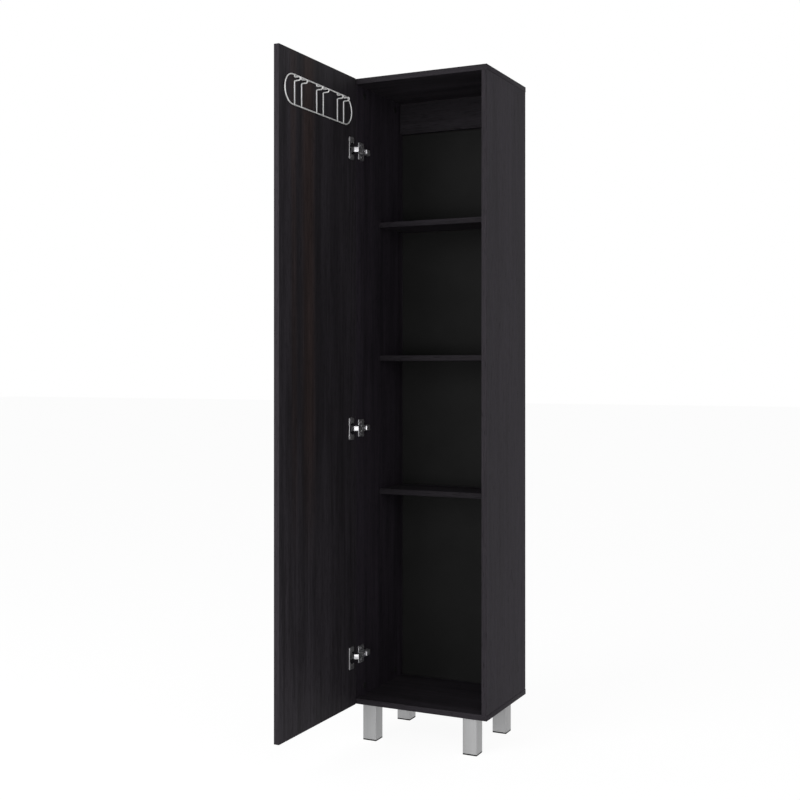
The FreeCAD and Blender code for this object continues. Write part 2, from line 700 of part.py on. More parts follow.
def hinge_cup(hinge, z, tools):
    """A round cup let into the door, with a screw flange and two lugs for the pin; returns its bore."""
    bottom = f"({DOOR_IN} - cup_depth)"
    shell = rod(f"{hinge}_cup_shell", (bottom, CUP_Y, z), "x", "cup_diameter", "cup_depth + rim_height")
    flange = box(f"{hinge}_cup_flange",
                 (DOOR_IN, f"{DOOR_EDGE} - flange_edge - flange_width", f"{z} - flange_length / 2"),
                 ("flange_thick", "flange_width", "flange_length"))
    dish = rod(f"{hinge}_cup_dish", (f"{bottom} + cup_wall", CUP_Y, z), "x",
               "cup_diameter - 2 * cup_wall", "cup_depth + flange_thick - cup_wall + overrun")
    lug_reach = "(axis_inset + knuckle_diameter / 2)"
    lug_size = (f"{AXIS_X} + knuckle_diameter / 2 - {bottom}", lug_reach, "lug_thick")
    lugs = []
    for name, lug_z in (("low", f"{z} - {LUG_SPAN} / 2"), ("high", f"{z} + {LUG_SPAN} / 2 - lug_thick")):
        lugs.append(box(f"{hinge}_{name}_lug", (bottom, f"{DOOR_EDGE} - {lug_reach}", lug_z), lug_size))
    hollow = cut(f"{hinge}_cup_hollow", dish, lugs)
    blank = cut(f"{hinge}_cup_hollowed", fused(f"{hinge}_cup_blank", [shell, flange]), [hollow])
    subpart(cut(f"{hinge}_cup_drilled", blank, tools), f"{hinge}_hinge_cup")
    return rod(f"{hinge}_cup_bore", (bottom, CUP_Y, z), "x", "cup_diameter", "cup_depth")


# Hook rack

WIRE_X = f"({DOOR_IN} + rack_stand)"
RACK_Y = f"({DOOR_EDGE} - carcass_width / 2 - rack_shift)"
RACK_TOP = f"({TOP} - rack_drop)"
RACK_LOW = f"({RACK_TOP} - rack_height)"
RACK_STRAIGHT = "(rack_width - rack_height)"
HOOK_PITCH = "(rack_width / 2 - hook_end_gap)"
HOOK_SHARES = {"left": -1, "middle": 0, "right": 1}


def rack_frame():
    """One ring of wire: two straight rails joined by round ends."""
    rail_start = f"{RACK_Y} - {RACK_STRAIGHT} / 2"
    pieces = []
    for name, z in (("low", RACK_LOW), ("high", RACK_TOP)):
        pieces.append(rod(f"rack_{name}_rail", (WIRE_X, rail_start, z), "y", "wire_diameter", RACK_STRAIGHT))
    ends = (("near", f"{RACK_Y} + {RACK_STRAIGHT} / 2", AXIS_TURN["x"]),
            ("far", rail_start, Rotation(Vector(1, 0, 0), 180) * AXIS_TURN["x"]))
    for name, y, turn in ends:
        bend = doc.addObject("Part::Torus", f"rack_{name}_end")
        bind(bend, "Radius1", "rack_height / 2")
        bind(bend, "Radius2", "wire_diameter / 2")
        bend.Angle3 = 180
        pieces.append(place(bend, (WIRE_X, y, f"({RACK_TOP} + {RACK_LOW}) / 2"), turn))
    return subpart(fused("rack_ring", pieces), "rack_frame")


def hook_wire_shape():
    """A wire from the top rail that runs out, turns back in a hairpin and drops to the low rail."""
    radius = number("wire_diameter / 2")
    bend = number("wire_bend")
    turn = number("hook_gap / 2")
    upper = number("-hook_drop")
    lower = number("-hook_drop - hook_gap")
    tip = number("hook_reach - hook_gap / 2")
    foot = number("-rack_height")
    slant = 2 ** -0.5

    def point(x, z):
        return Vector(x, 0, z)

    def corner(centre, start, middle, end):
        points = [point(centre[0] + size * x, centre[1] + size * z) for size, x, z in (start, middle, end)]
        return Part.Arc(*points).toShape()

    edges = [
        Part.LineSegment(point(0, 0), point(0, upper + bend)).toShape(),
        corner((bend, upper + bend), (bend, -1, 0), (bend, -slant, -slant), (bend, 0, -1)),
        Part.LineSegment(point(bend, upper), point(tip, upper)).toShape(),
        corner((tip, (upper + lower) / 2), (turn, 0, 1), (turn, 1, 0), (turn, 0, -1)),
        Part.LineSegment(point(tip, lower), point(bend, lower)).toShape(),
        corner((bend, lower - bend), (bend, 0, 1), (bend, -slant, slant), (bend, -1, 0)),
        Part.LineSegment(point(0, lower - bend), point(0, foot)).toShape(),
    ]
    section = Part.Wire(Part.Circle(point(0, 0), Vector(0, 0, 1), radius).toShape())
    return Part.Wire(edges).makePipeShell([section], True, False)


def rack_hooks(ring):
    """Three pairs of hairpin wires, each end coped to the ring it is welded to."""
    shape = hook_wire_shape()
    for unit, share in HOOK_SHARES.items():
        wires = []
        for sign in "+-":
            wire = doc.addObject("Part::Feature", f"{unit}_hook_wire")
            wire.Shape = shape
            y = f"{RACK_Y} + {HOOK_PITCH} * ({share}) {sign} hook_pair_gap / 2"
            wires.append(place(wire, (WIRE_X, y, RACK_TOP)))
        blank = grouped(f"{unit}_hook_blank", wires)
        subpart(cut(f"{unit}_hook_coped", blank, [ring]), f"{unit}_rack_hook")


def rack_studs(ring):
    """Four studs behind the rails that screw into the door; returns their bores."""
    studs = []
    bores = []
    length = "stud_bite + rack_stand"
    for sign in "+-":
        for row, z in (("low", RACK_LOW), ("high", RACK_TOP)):
            start = (f"{DOOR_IN} - stud_bite", f"{RACK_Y} {sign} {HOOK_PITCH} / 2", z)
            name = f"stud_{row}_{len(studs)}"
            studs.append(rod(name, start, "x", "stud_diameter", length))
            bores.append(rod(f"{name}_bore", start, "x", "stud_diameter", "stud_bite"))
    blank = grouped("stud_group", studs)
    subpart(cut("studs_coped", blank, [ring]), "rack_studs")
    return bores


# Door

def door(tools):
    """The full-overlay door and the band glued round its edges."""
    corner = (DOOR_OUT, DOOR_FREE_EDGE, BASE)
    whole = box("door_whole", corner, ("board", "carcass_width", "carcass_height"))
    core = box("door_core", (DOOR_OUT, f"{DOOR_FREE_EDGE} + band_thick", f"{BASE} + band_thick"),
               ("board", "carcass_width - 2 * band_thick", "carcass_height - 2 * band_thick"))
    doc.recompute()
    rounded = doc.addObject("Part::Fillet", "door_rounded")
    rounded.Base = whole
    size = number("door_edge_round")
    rounded.Edges = [(index + 1, size, size) for index in range(len(whole.Shape.Edges))]
    subpart(cut("door_band_ring", rounded, [core]), "door_edge_band")
    subpart(cut("door_bored", core, tools), "door_panel")


# Assembly

held = holding_hardware()
plate_screw_group = plate_screws()
leg_screw_group = legs()
side_panels(held, plate_screw_group)
end_panels(held, leg_screw_group)
back_panel(held)
back_rail(held)
shelves(held)
edge_bands()

fixing_group = arm_screws("fixing", "fixing_screw_setback", "clip_height")
adjusting_group = arm_screws("adjusting", "adjusting_screw_setback", "0")
pin_group = hinge_pins()
cup_screw_group = cup_screws()
door_tools = [cup_screw_group]
for hinge, z in HINGES.items():
    hinge_plate(hinge, z, [plate_screw_group, fixing_group, adjusting_group])
    hinge_arm(hinge, z, [fixing_group, adjusting_group])
    door_tools.append(hinge_cup(hinge, z, [pin_group, cup_screw_group]))

ring = rack_frame()
rack_hooks(ring)
door_tools.extend(rack_studs(ring))
door(door_tools)
doc.recompute()

# Checks, then one file for each sub-part
for item in doc.Objects:
    if "Invalid" in item.State or "Error" in item.State:
        raise RuntimeError(f"{item.Label} failed: {item.State}")
for item in subparts:
    if item.Shape.isNull() or not item.Shape.isValid() or not item.Shape.Solids:
        raise RuntimeError(f"{item.Label} has no valid solid")

os.makedirs("parts", exist_ok=True)
for item in subparts:
    item.Shape.exportStep(f"parts/{item.Label}.step")
print(f"{len(subparts)} sub-parts, {sum(len(item.Shape.Solids) for item in subparts)} solids")
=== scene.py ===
import json
import math
from contextlib import contextmanager

import bmesh
import bpy
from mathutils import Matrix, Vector


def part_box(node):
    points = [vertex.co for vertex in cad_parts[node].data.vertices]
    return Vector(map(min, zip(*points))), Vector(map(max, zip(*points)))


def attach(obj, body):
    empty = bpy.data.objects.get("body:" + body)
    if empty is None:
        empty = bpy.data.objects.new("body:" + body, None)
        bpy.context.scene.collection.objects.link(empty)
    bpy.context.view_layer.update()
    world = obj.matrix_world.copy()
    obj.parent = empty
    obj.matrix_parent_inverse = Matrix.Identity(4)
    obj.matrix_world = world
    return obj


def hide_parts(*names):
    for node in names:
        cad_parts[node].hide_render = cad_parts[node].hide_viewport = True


# A tall black broom cupboard on four metal legs, its door open square to the front.
# Metres, +Z up, the front towards -Y.

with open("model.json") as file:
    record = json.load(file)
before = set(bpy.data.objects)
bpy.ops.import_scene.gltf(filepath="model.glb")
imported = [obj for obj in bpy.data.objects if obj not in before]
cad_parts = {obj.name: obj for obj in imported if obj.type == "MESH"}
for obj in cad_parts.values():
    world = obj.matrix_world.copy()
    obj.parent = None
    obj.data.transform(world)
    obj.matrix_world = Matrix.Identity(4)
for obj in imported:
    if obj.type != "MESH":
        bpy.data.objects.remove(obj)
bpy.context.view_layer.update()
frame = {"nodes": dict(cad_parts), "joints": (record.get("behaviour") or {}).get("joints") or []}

MM = 0.001
X = Vector((1, 0, 0))
Y = Vector((0, 1, 0))
Z = Vector((0, 0, 1))
HINGES = ("lower", "middle", "upper")
SHELVES = ("lower", "middle", "upper")
LEGS = ("front_left", "front_right", "rear_left", "rear_right")
HOOKS = ("left", "middle", "right")


# Modelling by hand, in code

# Corners nearer than this are one, and a cutter goes this far past what it cuts
TOUCHING = 0.01 * MM
PAST = 1.0 * MM
# Cosines above which an edge runs along an axis, and a face, straight or leaning, looks along it
PARALLEL = 0.99
FACING = 0.9
LEANING = 0.5
# Degrees up to which an edge is shaded smooth
SOFT_ANGLE = 35
SCREW_ANGLE = 30
ROUND_ANGLE = 60
SORT_DIGITS = 5


def select_only(piece):
    """Makes one piece the only selected one, and active."""
    bpy.ops.object.select_all(action="DESELECT")
    piece.select_set(True)
    bpy.context.view_layer.objects.active = piece


@contextmanager
def editing(piece):
    """Edit mode on one piece, with everything in it selected."""
    select_only(piece)
    bpy.ops.object.mode_set(mode="EDIT")
    bpy.ops.mesh.select_all(action="SELECT")
    yield
    bpy.ops.object.mode_set(mode="OBJECT")


def named(name):
    """Names the active piece and moves its place into its mesh."""
    piece = bpy.context.object
    piece.name = name
    piece.data.name = name
    select_only(piece)
    bpy.ops.object.transform_apply(location=True, rotation=True, scale=True)
    return piece


def block(name, low, high):
    """A box between two corners, to be shaped further."""
    bpy.ops.object.select_all(action="DESELECT")
    bpy.ops.mesh.primitive_cube_add(size=1, location=(low + high) / 2, scale=high - low)
    return named(name)


def turn_to(axis):
    """The rotation that lays a primitive's own Z along an axis."""
    return axis.to_track_quat("Z", "Y").to_euler()


def bar(name, start, axis, radius, length, sides=32):
    """A round bar from its first end along an axis, to be shaped further."""
    bpy.ops.object.select_all(action="DESELECT")
    middle = start + axis * length / 2
    bpy.ops.mesh.primitive_cylinder_add(
        vertices=sides, radius=radius, depth=length, location=middle, rotation=turn_to(axis))
    return named(name)


def disc(name, centre, axis, radius, sides):
    """A filled circle, the end that a wire is drawn out from."""
    bpy.ops.object.select_all(action="DESELECT")
    bpy.ops.mesh.primitive_circle_add(
        vertices=sides, radius=radius, fill_type="NGON", location=centre, rotation=turn_to(axis))
    return named(name)


def pick(piece, kind, test):
    """Selects the faces, edges or verts of the piece in edit mode that pass a test."""
    bpy.ops.mesh.select_mode(type={"faces": "FACE", "edges": "EDGE", "verts": "VERT"}[kind])
    bpy.ops.mesh.select_all(action="DESELECT")
    mesh = bmesh.from_edit_mesh(piece.data)
    for item in getattr(mesh, kind):
        item.select_set(bool(test(item)))
    mesh.select_flush_mode()
    bmesh.update_edit_mesh(piece.data)


def facing(axis, limit=FACING):
    """A test for faces that look along an axis."""
    return lambda face: face.normal.dot(axis) > limit


def running(axis):
    """A test for edges that run along an axis."""
    def test(edge):
        first, second = edge.verts
        return abs((first.co - second.co).normalized().dot(axis)) > PARALLEL
    return test


def on_plane(axis, at):
    """A test for edges that lie in the plane where the axis reads that value."""
    return lambda edge: all(abs(corner.co.dot(axis) - at) < TOUCHING for corner in edge.verts)


def both(first, second):
    """A test that passes what two tests pass."""
    return lambda item: first(item) and second(item)


def either(first, second):
    """A test that passes what one of two tests passes."""
    return lambda item: first(item) or second(item)


def round_edges(piece, radius, test, segments=3):
    """Rounds the edges that pass a test."""
    with editing(piece):
        pick(piece, "edges", test)
        bpy.ops.mesh.bevel(offset=radius, segments=segments, profile=0.5, affect="EDGES")


def extrude(step):
    """Draws what is selected out by a step."""
    bpy.ops.mesh.extrude_region_move(TRANSFORM_OT_translate={"value": step})


def spin(degrees, centre, axis, steps):
    """Draws the selected face round an axis; the operator turns the other way, so its axis is reversed."""
    bpy.ops.mesh.spin(steps=steps, angle=math.radians(degrees), center=centre, axis=-axis)


def smooth(piece, degrees=SOFT_ANGLE):
    """Smooth shading that keeps the sharp edges."""
    select_only(piece)
    bpy.ops.object.shade_smooth_by_angle(angle=math.radians(degrees))
    return piece


def closed(piece):
    """Merges doubles and turns all faces outwards."""
    with editing(piece):
        bpy.ops.mesh.remove_doubles(threshold=TOUCHING)
        bpy.ops.mesh.normals_make_consistent(inside=False)


def carve(piece, other, operation):
    """Joins another piece to this one, or cuts it out, and removes the other."""
    joint = piece.modifiers.new("joint", "BOOLEAN")
    joint.operation = operation
    joint.solver = "EXACT"
    joint.object = other
    select_only(piece)
    bpy.ops.object.modifier_apply(modifier=joint.name)
    bpy.data.objects.remove(other)
    return piece


def copied(piece, name, shift):
    """A copy with its own mesh, moved by a shift."""
    select_only(piece)
    bpy.ops.object.duplicate(linked=False)
    bpy.ops.transform.translate(value=shift)
    return named(name)


def joined(name, pieces):
    """Several shells as one piece."""
    bpy.ops.object.select_all(action="DESELECT")
    for piece in pieces:
        piece.select_set(True)
    bpy.context.view_layer.objects.active = pieces[0]
    bpy.ops.object.join()
    return named(name)


def island_of(first):
    """All corners that hang together with the first one."""
    island = [first]
    seen = {first}
    for corner in island:
        for edge in corner.link_edges:
            other = edge.other_vert(corner)
            if other not in seen:
                seen.add(other)
                island.append(other)
    return island


def reading_order(box):
    """Sorts boxes from the floor up, then from the front, then from the left."""
    low = box[0]
    return tuple(round(value, SORT_DIGITS) for value in (low.z, low.y, low.x))


def solid_boxes(node):
    """The lowest and highest corner of each separate solid in a CAD node, in reading order."""
    mesh = bmesh.new()
    mesh.from_mesh(frame["nodes"][node].data)
    bmesh.ops.remove_doubles(mesh, verts=mesh.verts, dist=TOUCHING)
    boxes = []
    seen = set()
    for first in mesh.verts:
        if first in seen:
            continue
        island = island_of(first)
        seen.update(island)
        low = Vector(min(corner.co[axis] for corner in island) for axis in range(3))
        high = Vector(max(corner.co[axis] for corner in island) for axis in range(3))
        boxes.append((low, high))
    mesh.free()
    return sorted(boxes, key=reading_order)


def finished(piece, body, slot, finish, *nodes):
    """Gives a piece its finish, its body and the CAD nodes that it stands for; its slot is not used."""
    piece.data.materials.clear()
    piece.data.materials.append(finish)
    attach(piece, body)
    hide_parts(*nodes)
    return piece


# Finishes, written as sums of shader sockets

class Tone:
    """A shader socket that takes part in sums."""

    def __init__(self, finish, socket):
        self.finish = finish
        self.socket = socket

    def math(self, operation, *values):
        """The outcome of one operation on values and sockets."""
        sockets = dict(enumerate(values))
        return self.finish.node("ShaderNodeMath", {"operation": operation}, sockets)

    def __add__(self, other):
        return self.math("ADD", self, other)

    __radd__ = __add__

    def __sub__(self, other):
        return self.math("SUBTRACT", self, other)

    def __rsub__(self, other):
        return self.math("SUBTRACT", other, self)

    def __mul__(self, other):
        return self.math("MULTIPLY", self, other)

    __rmul__ = __mul__

    def clamped(self, low, high):
        """Stretches the span from low to high over 0 to 1, smoothly, and cuts off the rest."""
        settings = {"interpolation_type": "SMOOTHSTEP"}
        sockets = {"Value": self, "From Min": low, "From Max": high}
        return self.finish.node("ShaderNodeMapRange", settings, sockets)


class Finish:
    """A material, with its nodes made one by one."""

    def __init__(self, name, tree=None):
        if tree is None:
            self.material = bpy.data.materials.new(name)
            self.material.use_nodes = True
            tree = self.material.node_tree
        self.tree = tree
        self.tree.nodes.clear()

    def node(self, kind, settings=None, sockets=None, output=0):
        """Adds a node, sets it up, feeds its sockets and returns one of its outputs."""
        item = self.tree.nodes.new(kind)
        for key, value in (settings or {}).items():
            setattr(item, key, value)
        for key, value in (sockets or {}).items():
            if isinstance(value, Tone):
                self.tree.links.new(value.socket, item.inputs[key])
            else:
                item.inputs[key].default_value = value
        return Tone(self, item.outputs[output]) if item.outputs else None

    def place(self, scale=(1, 1, 1), shift=(0, 0, 0)):
        """Object coordinates in metres, scaled and shifted."""
        spot = self.node("ShaderNodeTexCoord", output="Object")
        sockets = {"Vector": spot, "Location": shift, "Scale": scale}
        return self.node("ShaderNodeMapping", sockets=sockets)

    def along(self, axis):
        """One of the Object coordinates, in metres."""
        return self.node("ShaderNodeSeparateXYZ", sockets={"Vector": self.place()}, output=axis)

    def noise(self, spot, scale=1.0, detail=2.0, roughness=0.5, distortion=0.0):
        """Noise about 0.5, at a scale per metre."""
        sockets = {"Vector": spot, "Scale": scale, "Detail": detail, "Roughness": roughness,
                   "Distortion": distortion}
        return self.node("ShaderNodeTexNoise", sockets=sockets)

    def blend(self, factor, first, second):
        """A colour between two colours."""
        sockets = {0: factor, 6: first, 7: second}
        return self.node("ShaderNodeMix", {"data_type": "RGBA"}, sockets, output=2)

    def bump(self, height, depth, strength=1.0):
        """A normal from a height of 0 to 1 and its depth in metres."""
        sockets = {"Height": height, "Distance": depth, "Strength": strength}
        return self.node("ShaderNodeBump", sockets=sockets)

    def surface(self, sockets):
        """Ends the material in one Principled surface."""
        shader = self.node("ShaderNodeBsdfPrincipled", sockets=sockets)
        self.node("ShaderNodeOutputMaterial", sockets={"Surface": shader})
        return self.material


def grey(level, red=1.0, green=1.0, blue=1.0):
    """A linear colour near a grey level."""
    return (level * red, level * green, level * blue, 1.0)


# Black-brown wood grain, with painted light and painted shade on the door

VIOLET = (1.075, 0.95, 1.135)
DEEP_VIOLET = (1.11, 0.93, 1.22)
BROWN = (1.32, 0.92, 0.90)
WENGE_DARK = 0.0120
WENGE_LIGHT = 0.0325
WENGE_PORE = 0.0050
# Each layer of the grain: repeats per metre across and along it, detail, roughness, distortion
GRAIN_LAYERS = {
    "sway": (13, 1.1, 2.0, 0.5, 0.6),
    "bands": (42, 1.9, 3.0, 0.55, 0.8),
    "streaks": (210, 7.5, 3.0, 0.6, 0.4),
    "fibres": (820, 24, 2.0, 0.6, 0.0),
    "pores": (1000, 38, 1.0, 0.4, 0.0),
}
SWAY_SHARE = 0.22
BAND_SHARE = 0.33
STREAK_SHARE = 0.26
FIBRE_SHARE = 0.19
FIGURE_SPREAD = 0.13
PORE_EDGE = (0.60, 0.72)
PORE_COVER = 0.8
FOIL_ROUGH = 0.56
STREAK_ROUGH = 0.12
PORE_ROUGH = 0.1
FOIL_SHEEN = 0.08
# Height of the plain foil, what grain adds and pores take away, then the depth and strength of the bump
FOIL_LEVEL = 0.6
GRAIN_RELIEF = 0.2
PORE_RELIEF = 0.7
FOIL_BUMP = (0.12 * MM, 0.5)
# The door's own figure, and a painted shade towards the hinge: place across, half width and strength of each
# band, and where it fades low down
HEARTWOOD = ((-0.410, 0.036, 0.95), (-0.482, 0.015, 0.6))
# Dark veins, and, widest and nearest the hinge, a painted shade
VEINS_AND_HINGE_SHADE = ((-0.358, 0.024, 0.45), (-0.456, 0.014, 0.25), (-0.262, 0.055, 0.28))
BAND_SWAY = 0.03
BAND_FOOT = (0.45, 0.95)
BAND_EDGE_SHARES = (0.3, 1.3)
# Painted light: the foot of the door's free edge made paler, standing in for light thrown up from the floor;
# where it ends upwards and inwards, and how much paler
PAINTED_LIGHT_HEIGHT = (0.40, 0.68)
PAINTED_LIGHT_WIDTH = (-0.47, -0.35)
PAINTED_LIGHT_GAIN = 1.26


def upright_bands(finish, sway, bands):
    """1 inside the door's upright bands, of grain and of painted shade, fading low down."""
    across = finish.along("Y") + (sway - 0.5) * BAND_SWAY
    inner, outer = BAND_EDGE_SHARES
    total = 0
    for centre, half, strength in bands:
        offset = across - centre
        distance = offset.math("ABSOLUTE", offset)
        total = (1 - distance.clamped(half * inner, half * outer)) * strength + total
    return total * finish.along("Z").clamped(*BAND_FOOT)


def wenge(name, along, cut, light=1.0, tint=VIOLET, contrast=1.0, heartwood_and_painted_shading=False):
    """Black-brown foil; the grain runs along one axis, and each board has its own cut of it. On the door it
    also carries painted light at the foot of the free edge and a painted shade towards the hinge.
    """
    finish = Finish(name)
    grain = {"x": X, "y": Y, "z": Z}[along]
    across = Vector((1, 1, 1)) - grain

    def layer(kind):
        fine, long, *settings = GRAIN_LAYERS[kind]
        return finish.noise(finish.place(across * fine + grain * long, cut), 1.0, *settings)

    def figured(hue, gain=light):
        return finish.blend(figure, grey(WENGE_DARK * gain, *hue), grey(WENGE_LIGHT * gain, *hue))

    sway = layer("sway")
    streaks = layer("streaks")
    fibres = layer("fibres")
    pores = layer("pores").clamped(*PORE_EDGE)
    spread = FIGURE_SPREAD / contrast
    figure = sway * SWAY_SHARE + layer("bands") * BAND_SHARE + streaks * STREAK_SHARE + fibres * FIBRE_SHARE
    figure = figure.clamped(0.5 - spread, 0.5 + spread)
    pore = grey(WENGE_PORE * light, *tint)
    colour = figured(tint)
    if heartwood_and_painted_shading:
        # Painted light: a paler copy of the figure on the door's lower free corner
        low = 1 - finish.along("Z").clamped(*PAINTED_LIGHT_HEIGHT)
        free = 1 - finish.along("Y").clamped(*PAINTED_LIGHT_WIDTH)
        colour = finish.blend(low * free, colour, figured(tint, light * PAINTED_LIGHT_GAIN))
        colour = finish.blend(upright_bands(finish, sway, HEARTWOOD), colour, figured(BROWN))
        # Dark veins and the painted shade near the hinge, blended towards the pore colour
        colour = finish.blend(upright_bands(finish, sway, VEINS_AND_HINGE_SHADE), colour, pore)
    relief = FOIL_LEVEL + streaks * GRAIN_RELIEF + fibres * GRAIN_RELIEF - pores * PORE_RELIEF
    return finish.surface({
        "Base Color": finish.blend(pores * PORE_COVER, colour, pore),
        "Roughness": FOIL_ROUGH + streaks * STREAK_ROUGH + pores * PORE_ROUGH,
        "Specular IOR Level": FOIL_SHEEN,
        "Normal": finish.bump(relief, *FOIL_BUMP),
    })


# Plain finishes

NEUTRAL = (1.0, 1.0, 1.0)
COOL = (1.0, 0.985, 1.02)
LACQUER_BLACK = (0.99, 1.0, 0.99)
ZINC_BLUE = (0.98, 1.0, 1.04)
STEEL_BLUE = (1.0, 1.0, 1.01)
CLOUD_EDGE = (0.3, 0.7)
LINE_SHARE = 0.6


def skin(name, fine, broad, shades, rough, relief, hue=NEUTRAL, metallic=0.0, sheen=0.5):
    """Fine noise (repeats, detail) roughens and embosses; broad noise (repeats, detail) shifts the shade."""
    finish = Finish(name)
    grains = finish.noise(finish.place(), *fine)
    clouds = finish.noise(finish.place(broad[0]), 1.0, broad[1]).clamped(*CLOUD_EDGE)
    dark, pale = shades
    smoothest, span = rough
    return finish.surface({
        "Base Color": finish.blend(clouds, grey(dark, *hue), grey(pale, *hue)),
        "Metallic": metallic,
        "Roughness": smoothest + grains * span,
        "Specular IOR Level": sheen,
        "Normal": finish.bump(grains, *relief),
    })


def nickel_plate(name, shades, smoothest):
    """Nickel plate with a faint haze."""
    return skin(name, fine=(900, 3.0), broad=((140, 140, 140), 2.0), shades=shades, rough=(smoothest, 0.12),
                relief=(0.02 * MM, 0.3), hue=COOL, metallic=0.85)


def silver_wire():
    """Silver lacquer on wire, slightly uneven."""
    return skin("silver_wire", fine=(1800, 2.0), broad=((300, 300, 120), 2.0), shades=(0.74, 0.84),
                rough=(0.32, 0.16), relief=(0.02 * MM, 0.4), metallic=0.25)


def moulded_plastic(name, shades):
    """Matt moulded plastic with a fine spark-eroded grain."""
    return skin(name, fine=(2400, 2.0), broad=((60, 60, 60), 2.0), shades=shades, rough=(0.5, 0.15),
                relief=(0.03 * MM, 0.5), sheen=0.12)


def back_black():
    """Plain black lacquered hardboard, with a fine orange-peel skin."""
    return skin("black_back_board", fine=(420, 2.0), broad=((6, 6, 6), 3.0), shades=(0.0076, 0.0104),
                rough=(0.52, 0.12), relief=(0.08 * MM, 0.35), hue=LACQUER_BLACK, sheen=0.11)


def brushed_aluminium():
    """Satin aluminium, brushed along the leg."""
    finish = Finish("brushed_aluminium")
    lines = finish.noise(finish.place((2200, 2200, 16)), roughness=0.6)
    broad = finish.noise(finish.place((160, 160, 5)))
    mixed = lines * LINE_SHARE + broad * (1 - LINE_SHARE)
    dark = grey(0.29, *STEEL_BLUE)
    pale = grey(0.40, *STEEL_BLUE)
    return finish.surface({
        "Base Color": finish.blend(mixed, dark, pale),
        "Metallic": 0.85,
        "Roughness": 0.36 + lines * 0.16,
        "Normal": finish.bump(lines, 0.04 * MM, 0.4),
    })


def zinc_plate():
    """Blue-white zinc plate on nails, screws and cams."""
    finish = Finish("zinc_plate")
    spangle = finish.node("ShaderNodeTexVoronoi", sockets={"Vector": finish.place(), "Scale": 700.0})
    dark = grey(0.45, *ZINC_BLUE)
    pale = grey(0.62, *ZINC_BLUE)
    return finish.surface({
        "Base Color": finish.blend(spangle.clamped(0.1, 0.8), dark, pale),
        "Metallic": 1.0,
        "Roughness": 0.3 + spangle * 0.15,
    })


def beech_dowel():
    """Pale beech with short flecks along the grain."""
    finish = Finish("beech_dowel")
    flecks = finish.noise(finish.place((120, 900, 900)))
    wood = grey(0.5, 1.1, 0.85, 0.6)
    fleck = grey(0.36, 1.15, 0.8, 0.5)
    return finish.surface({
        "Base Color": finish.blend(flecks.clamped(0.4, 0.7), wood, fleck),
        "Roughness": 0.6 + flecks * 0.2,
    })


FINISHES = {
    "nickel": nickel_plate("hinge_nickel", (0.48, 0.56), 0.28),
    "screw": nickel_plate("screw_nickel", (0.20, 0.26), 0.45),
    "aluminium": brushed_aluminium(),
    "wire": silver_wire(),
    "glide": moulded_plastic("glide_plastic", (0.008, 0.012)),
    "cover": moulded_plastic("cover_plastic", (0.011, 0.015)),
    "zinc": zinc_plate(),
    "dowel": beech_dowel(),
    "back": back_black(),
}


def paint(node, finish):
    """Gives a CAD node a finish in place of its own."""
    mesh = frame["nodes"][node].data
    mesh.materials.clear()
    mesh.materials.append(finish)


# Boards

BOARD_GRAIN = {
    "left_side_panel": "z",
    "right_side_panel": "z",
    "door_panel": "z",
    "top_panel": "x",
    "bottom_panel": "x",
    "back_rail": "x",
    "lower_shelf": "x",
    "middle_shelf": "x",
    "upper_shelf": "x",
}
# Light, tint and contrast of each board's foil
PLAIN_LOOK = (1.0, VIOLET, 1.0)
BOARD_LOOK = {
    "right_side_panel": (1.05, DEEP_VIOLET, 0.5),
    "back_rail": (0.74, VIOLET, 0.7),
    "left_side_panel": (0.90, DEEP_VIOLET, 1.0),
}
CUT_STEP = Vector((0.73, 1.31, 0.57))
DOWELS = ("corner_dowels", "shelf_dowels", "rail_dowels")
ZINC_FITTINGS = ("corner_cams", "shelf_cams", "rail_cams", "corner_cam_bolts", "shelf_cam_bolts",
                 "rail_cam_bolts", "back_nails", "leg_screws")


def boards():
    """Wood grain on each board, black on the back, and finishes on the fittings that stay as they are."""
    for count, (node, along) in enumerate(BOARD_GRAIN.items(), start=1):
        look = BOARD_LOOK.get(node, PLAIN_LOOK)
        heartwood_and_painted_shading = node == "door_panel"
        paint(node, wenge(f"wenge_{node}", along, CUT_STEP * count, *look, heartwood_and_painted_shading))
    paint("back_panel", FINISHES["back"])
    for node in DOWELS:
        paint(node, FINISHES["dowel"])
    for node in ZINC_FITTINGS:
        paint(node, FINISHES["zinc"])
    for leg in LEGS:
        paint(f"{leg}_leg_plate", FINISHES["zinc"])
    paint("hinge_pins", FINISHES["nickel"])


# Edge bands

ARRIS = 0.6 * MM
DOOR_ARRIS = 0.8 * MM
JOINT_LINE = 0.9 * MM
BAND_CONTRAST = 0.5
# Grain, cut, light and tint of each kind of band
BAND_LOOK = {
    "upright": ("z", 11, 1.16, VIOLET),
    "level": ("x", 12, 0.98, VIOLET),
    "door": ("z", 13, 1.28, VIOLET),
    "end": ("y", 14, 1.0, DEEP_VIOLET),
    "shelf": ("x", 15, 0.76, VIOLET),
}


def band_foil(kind):
    """The wood-grain foil of one kind of band."""
    along, cut, light, tint = BAND_LOOK[kind]
    return wenge(f"wenge_{kind}_band", along, CUT_STEP * cut, light, tint, BAND_CONTRAST)


def band_strip(name, low, high, out):
    """One glued strip, the arrises of its outer face taken off."""
    strip = block(name, low, high)
    outer = max(low.dot(out), high.dot(out))
    round_edges(strip, ARRIS, on_plane(out, outer))
    return smooth(strip)


def front_strip(node, name, low_x, high_x, foil, group):
    """The strip on a board's front edge."""
    low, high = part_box(node)
    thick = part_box("left_side_panel")[0].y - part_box("carcass_edge_bands")[0].y
    strip = band_strip(name, Vector((low_x, low.y - thick, low.z)), Vector((high_x, low.y, high.z)), -Y)
    finished(strip, "carcass", "edge_band", foil, group)


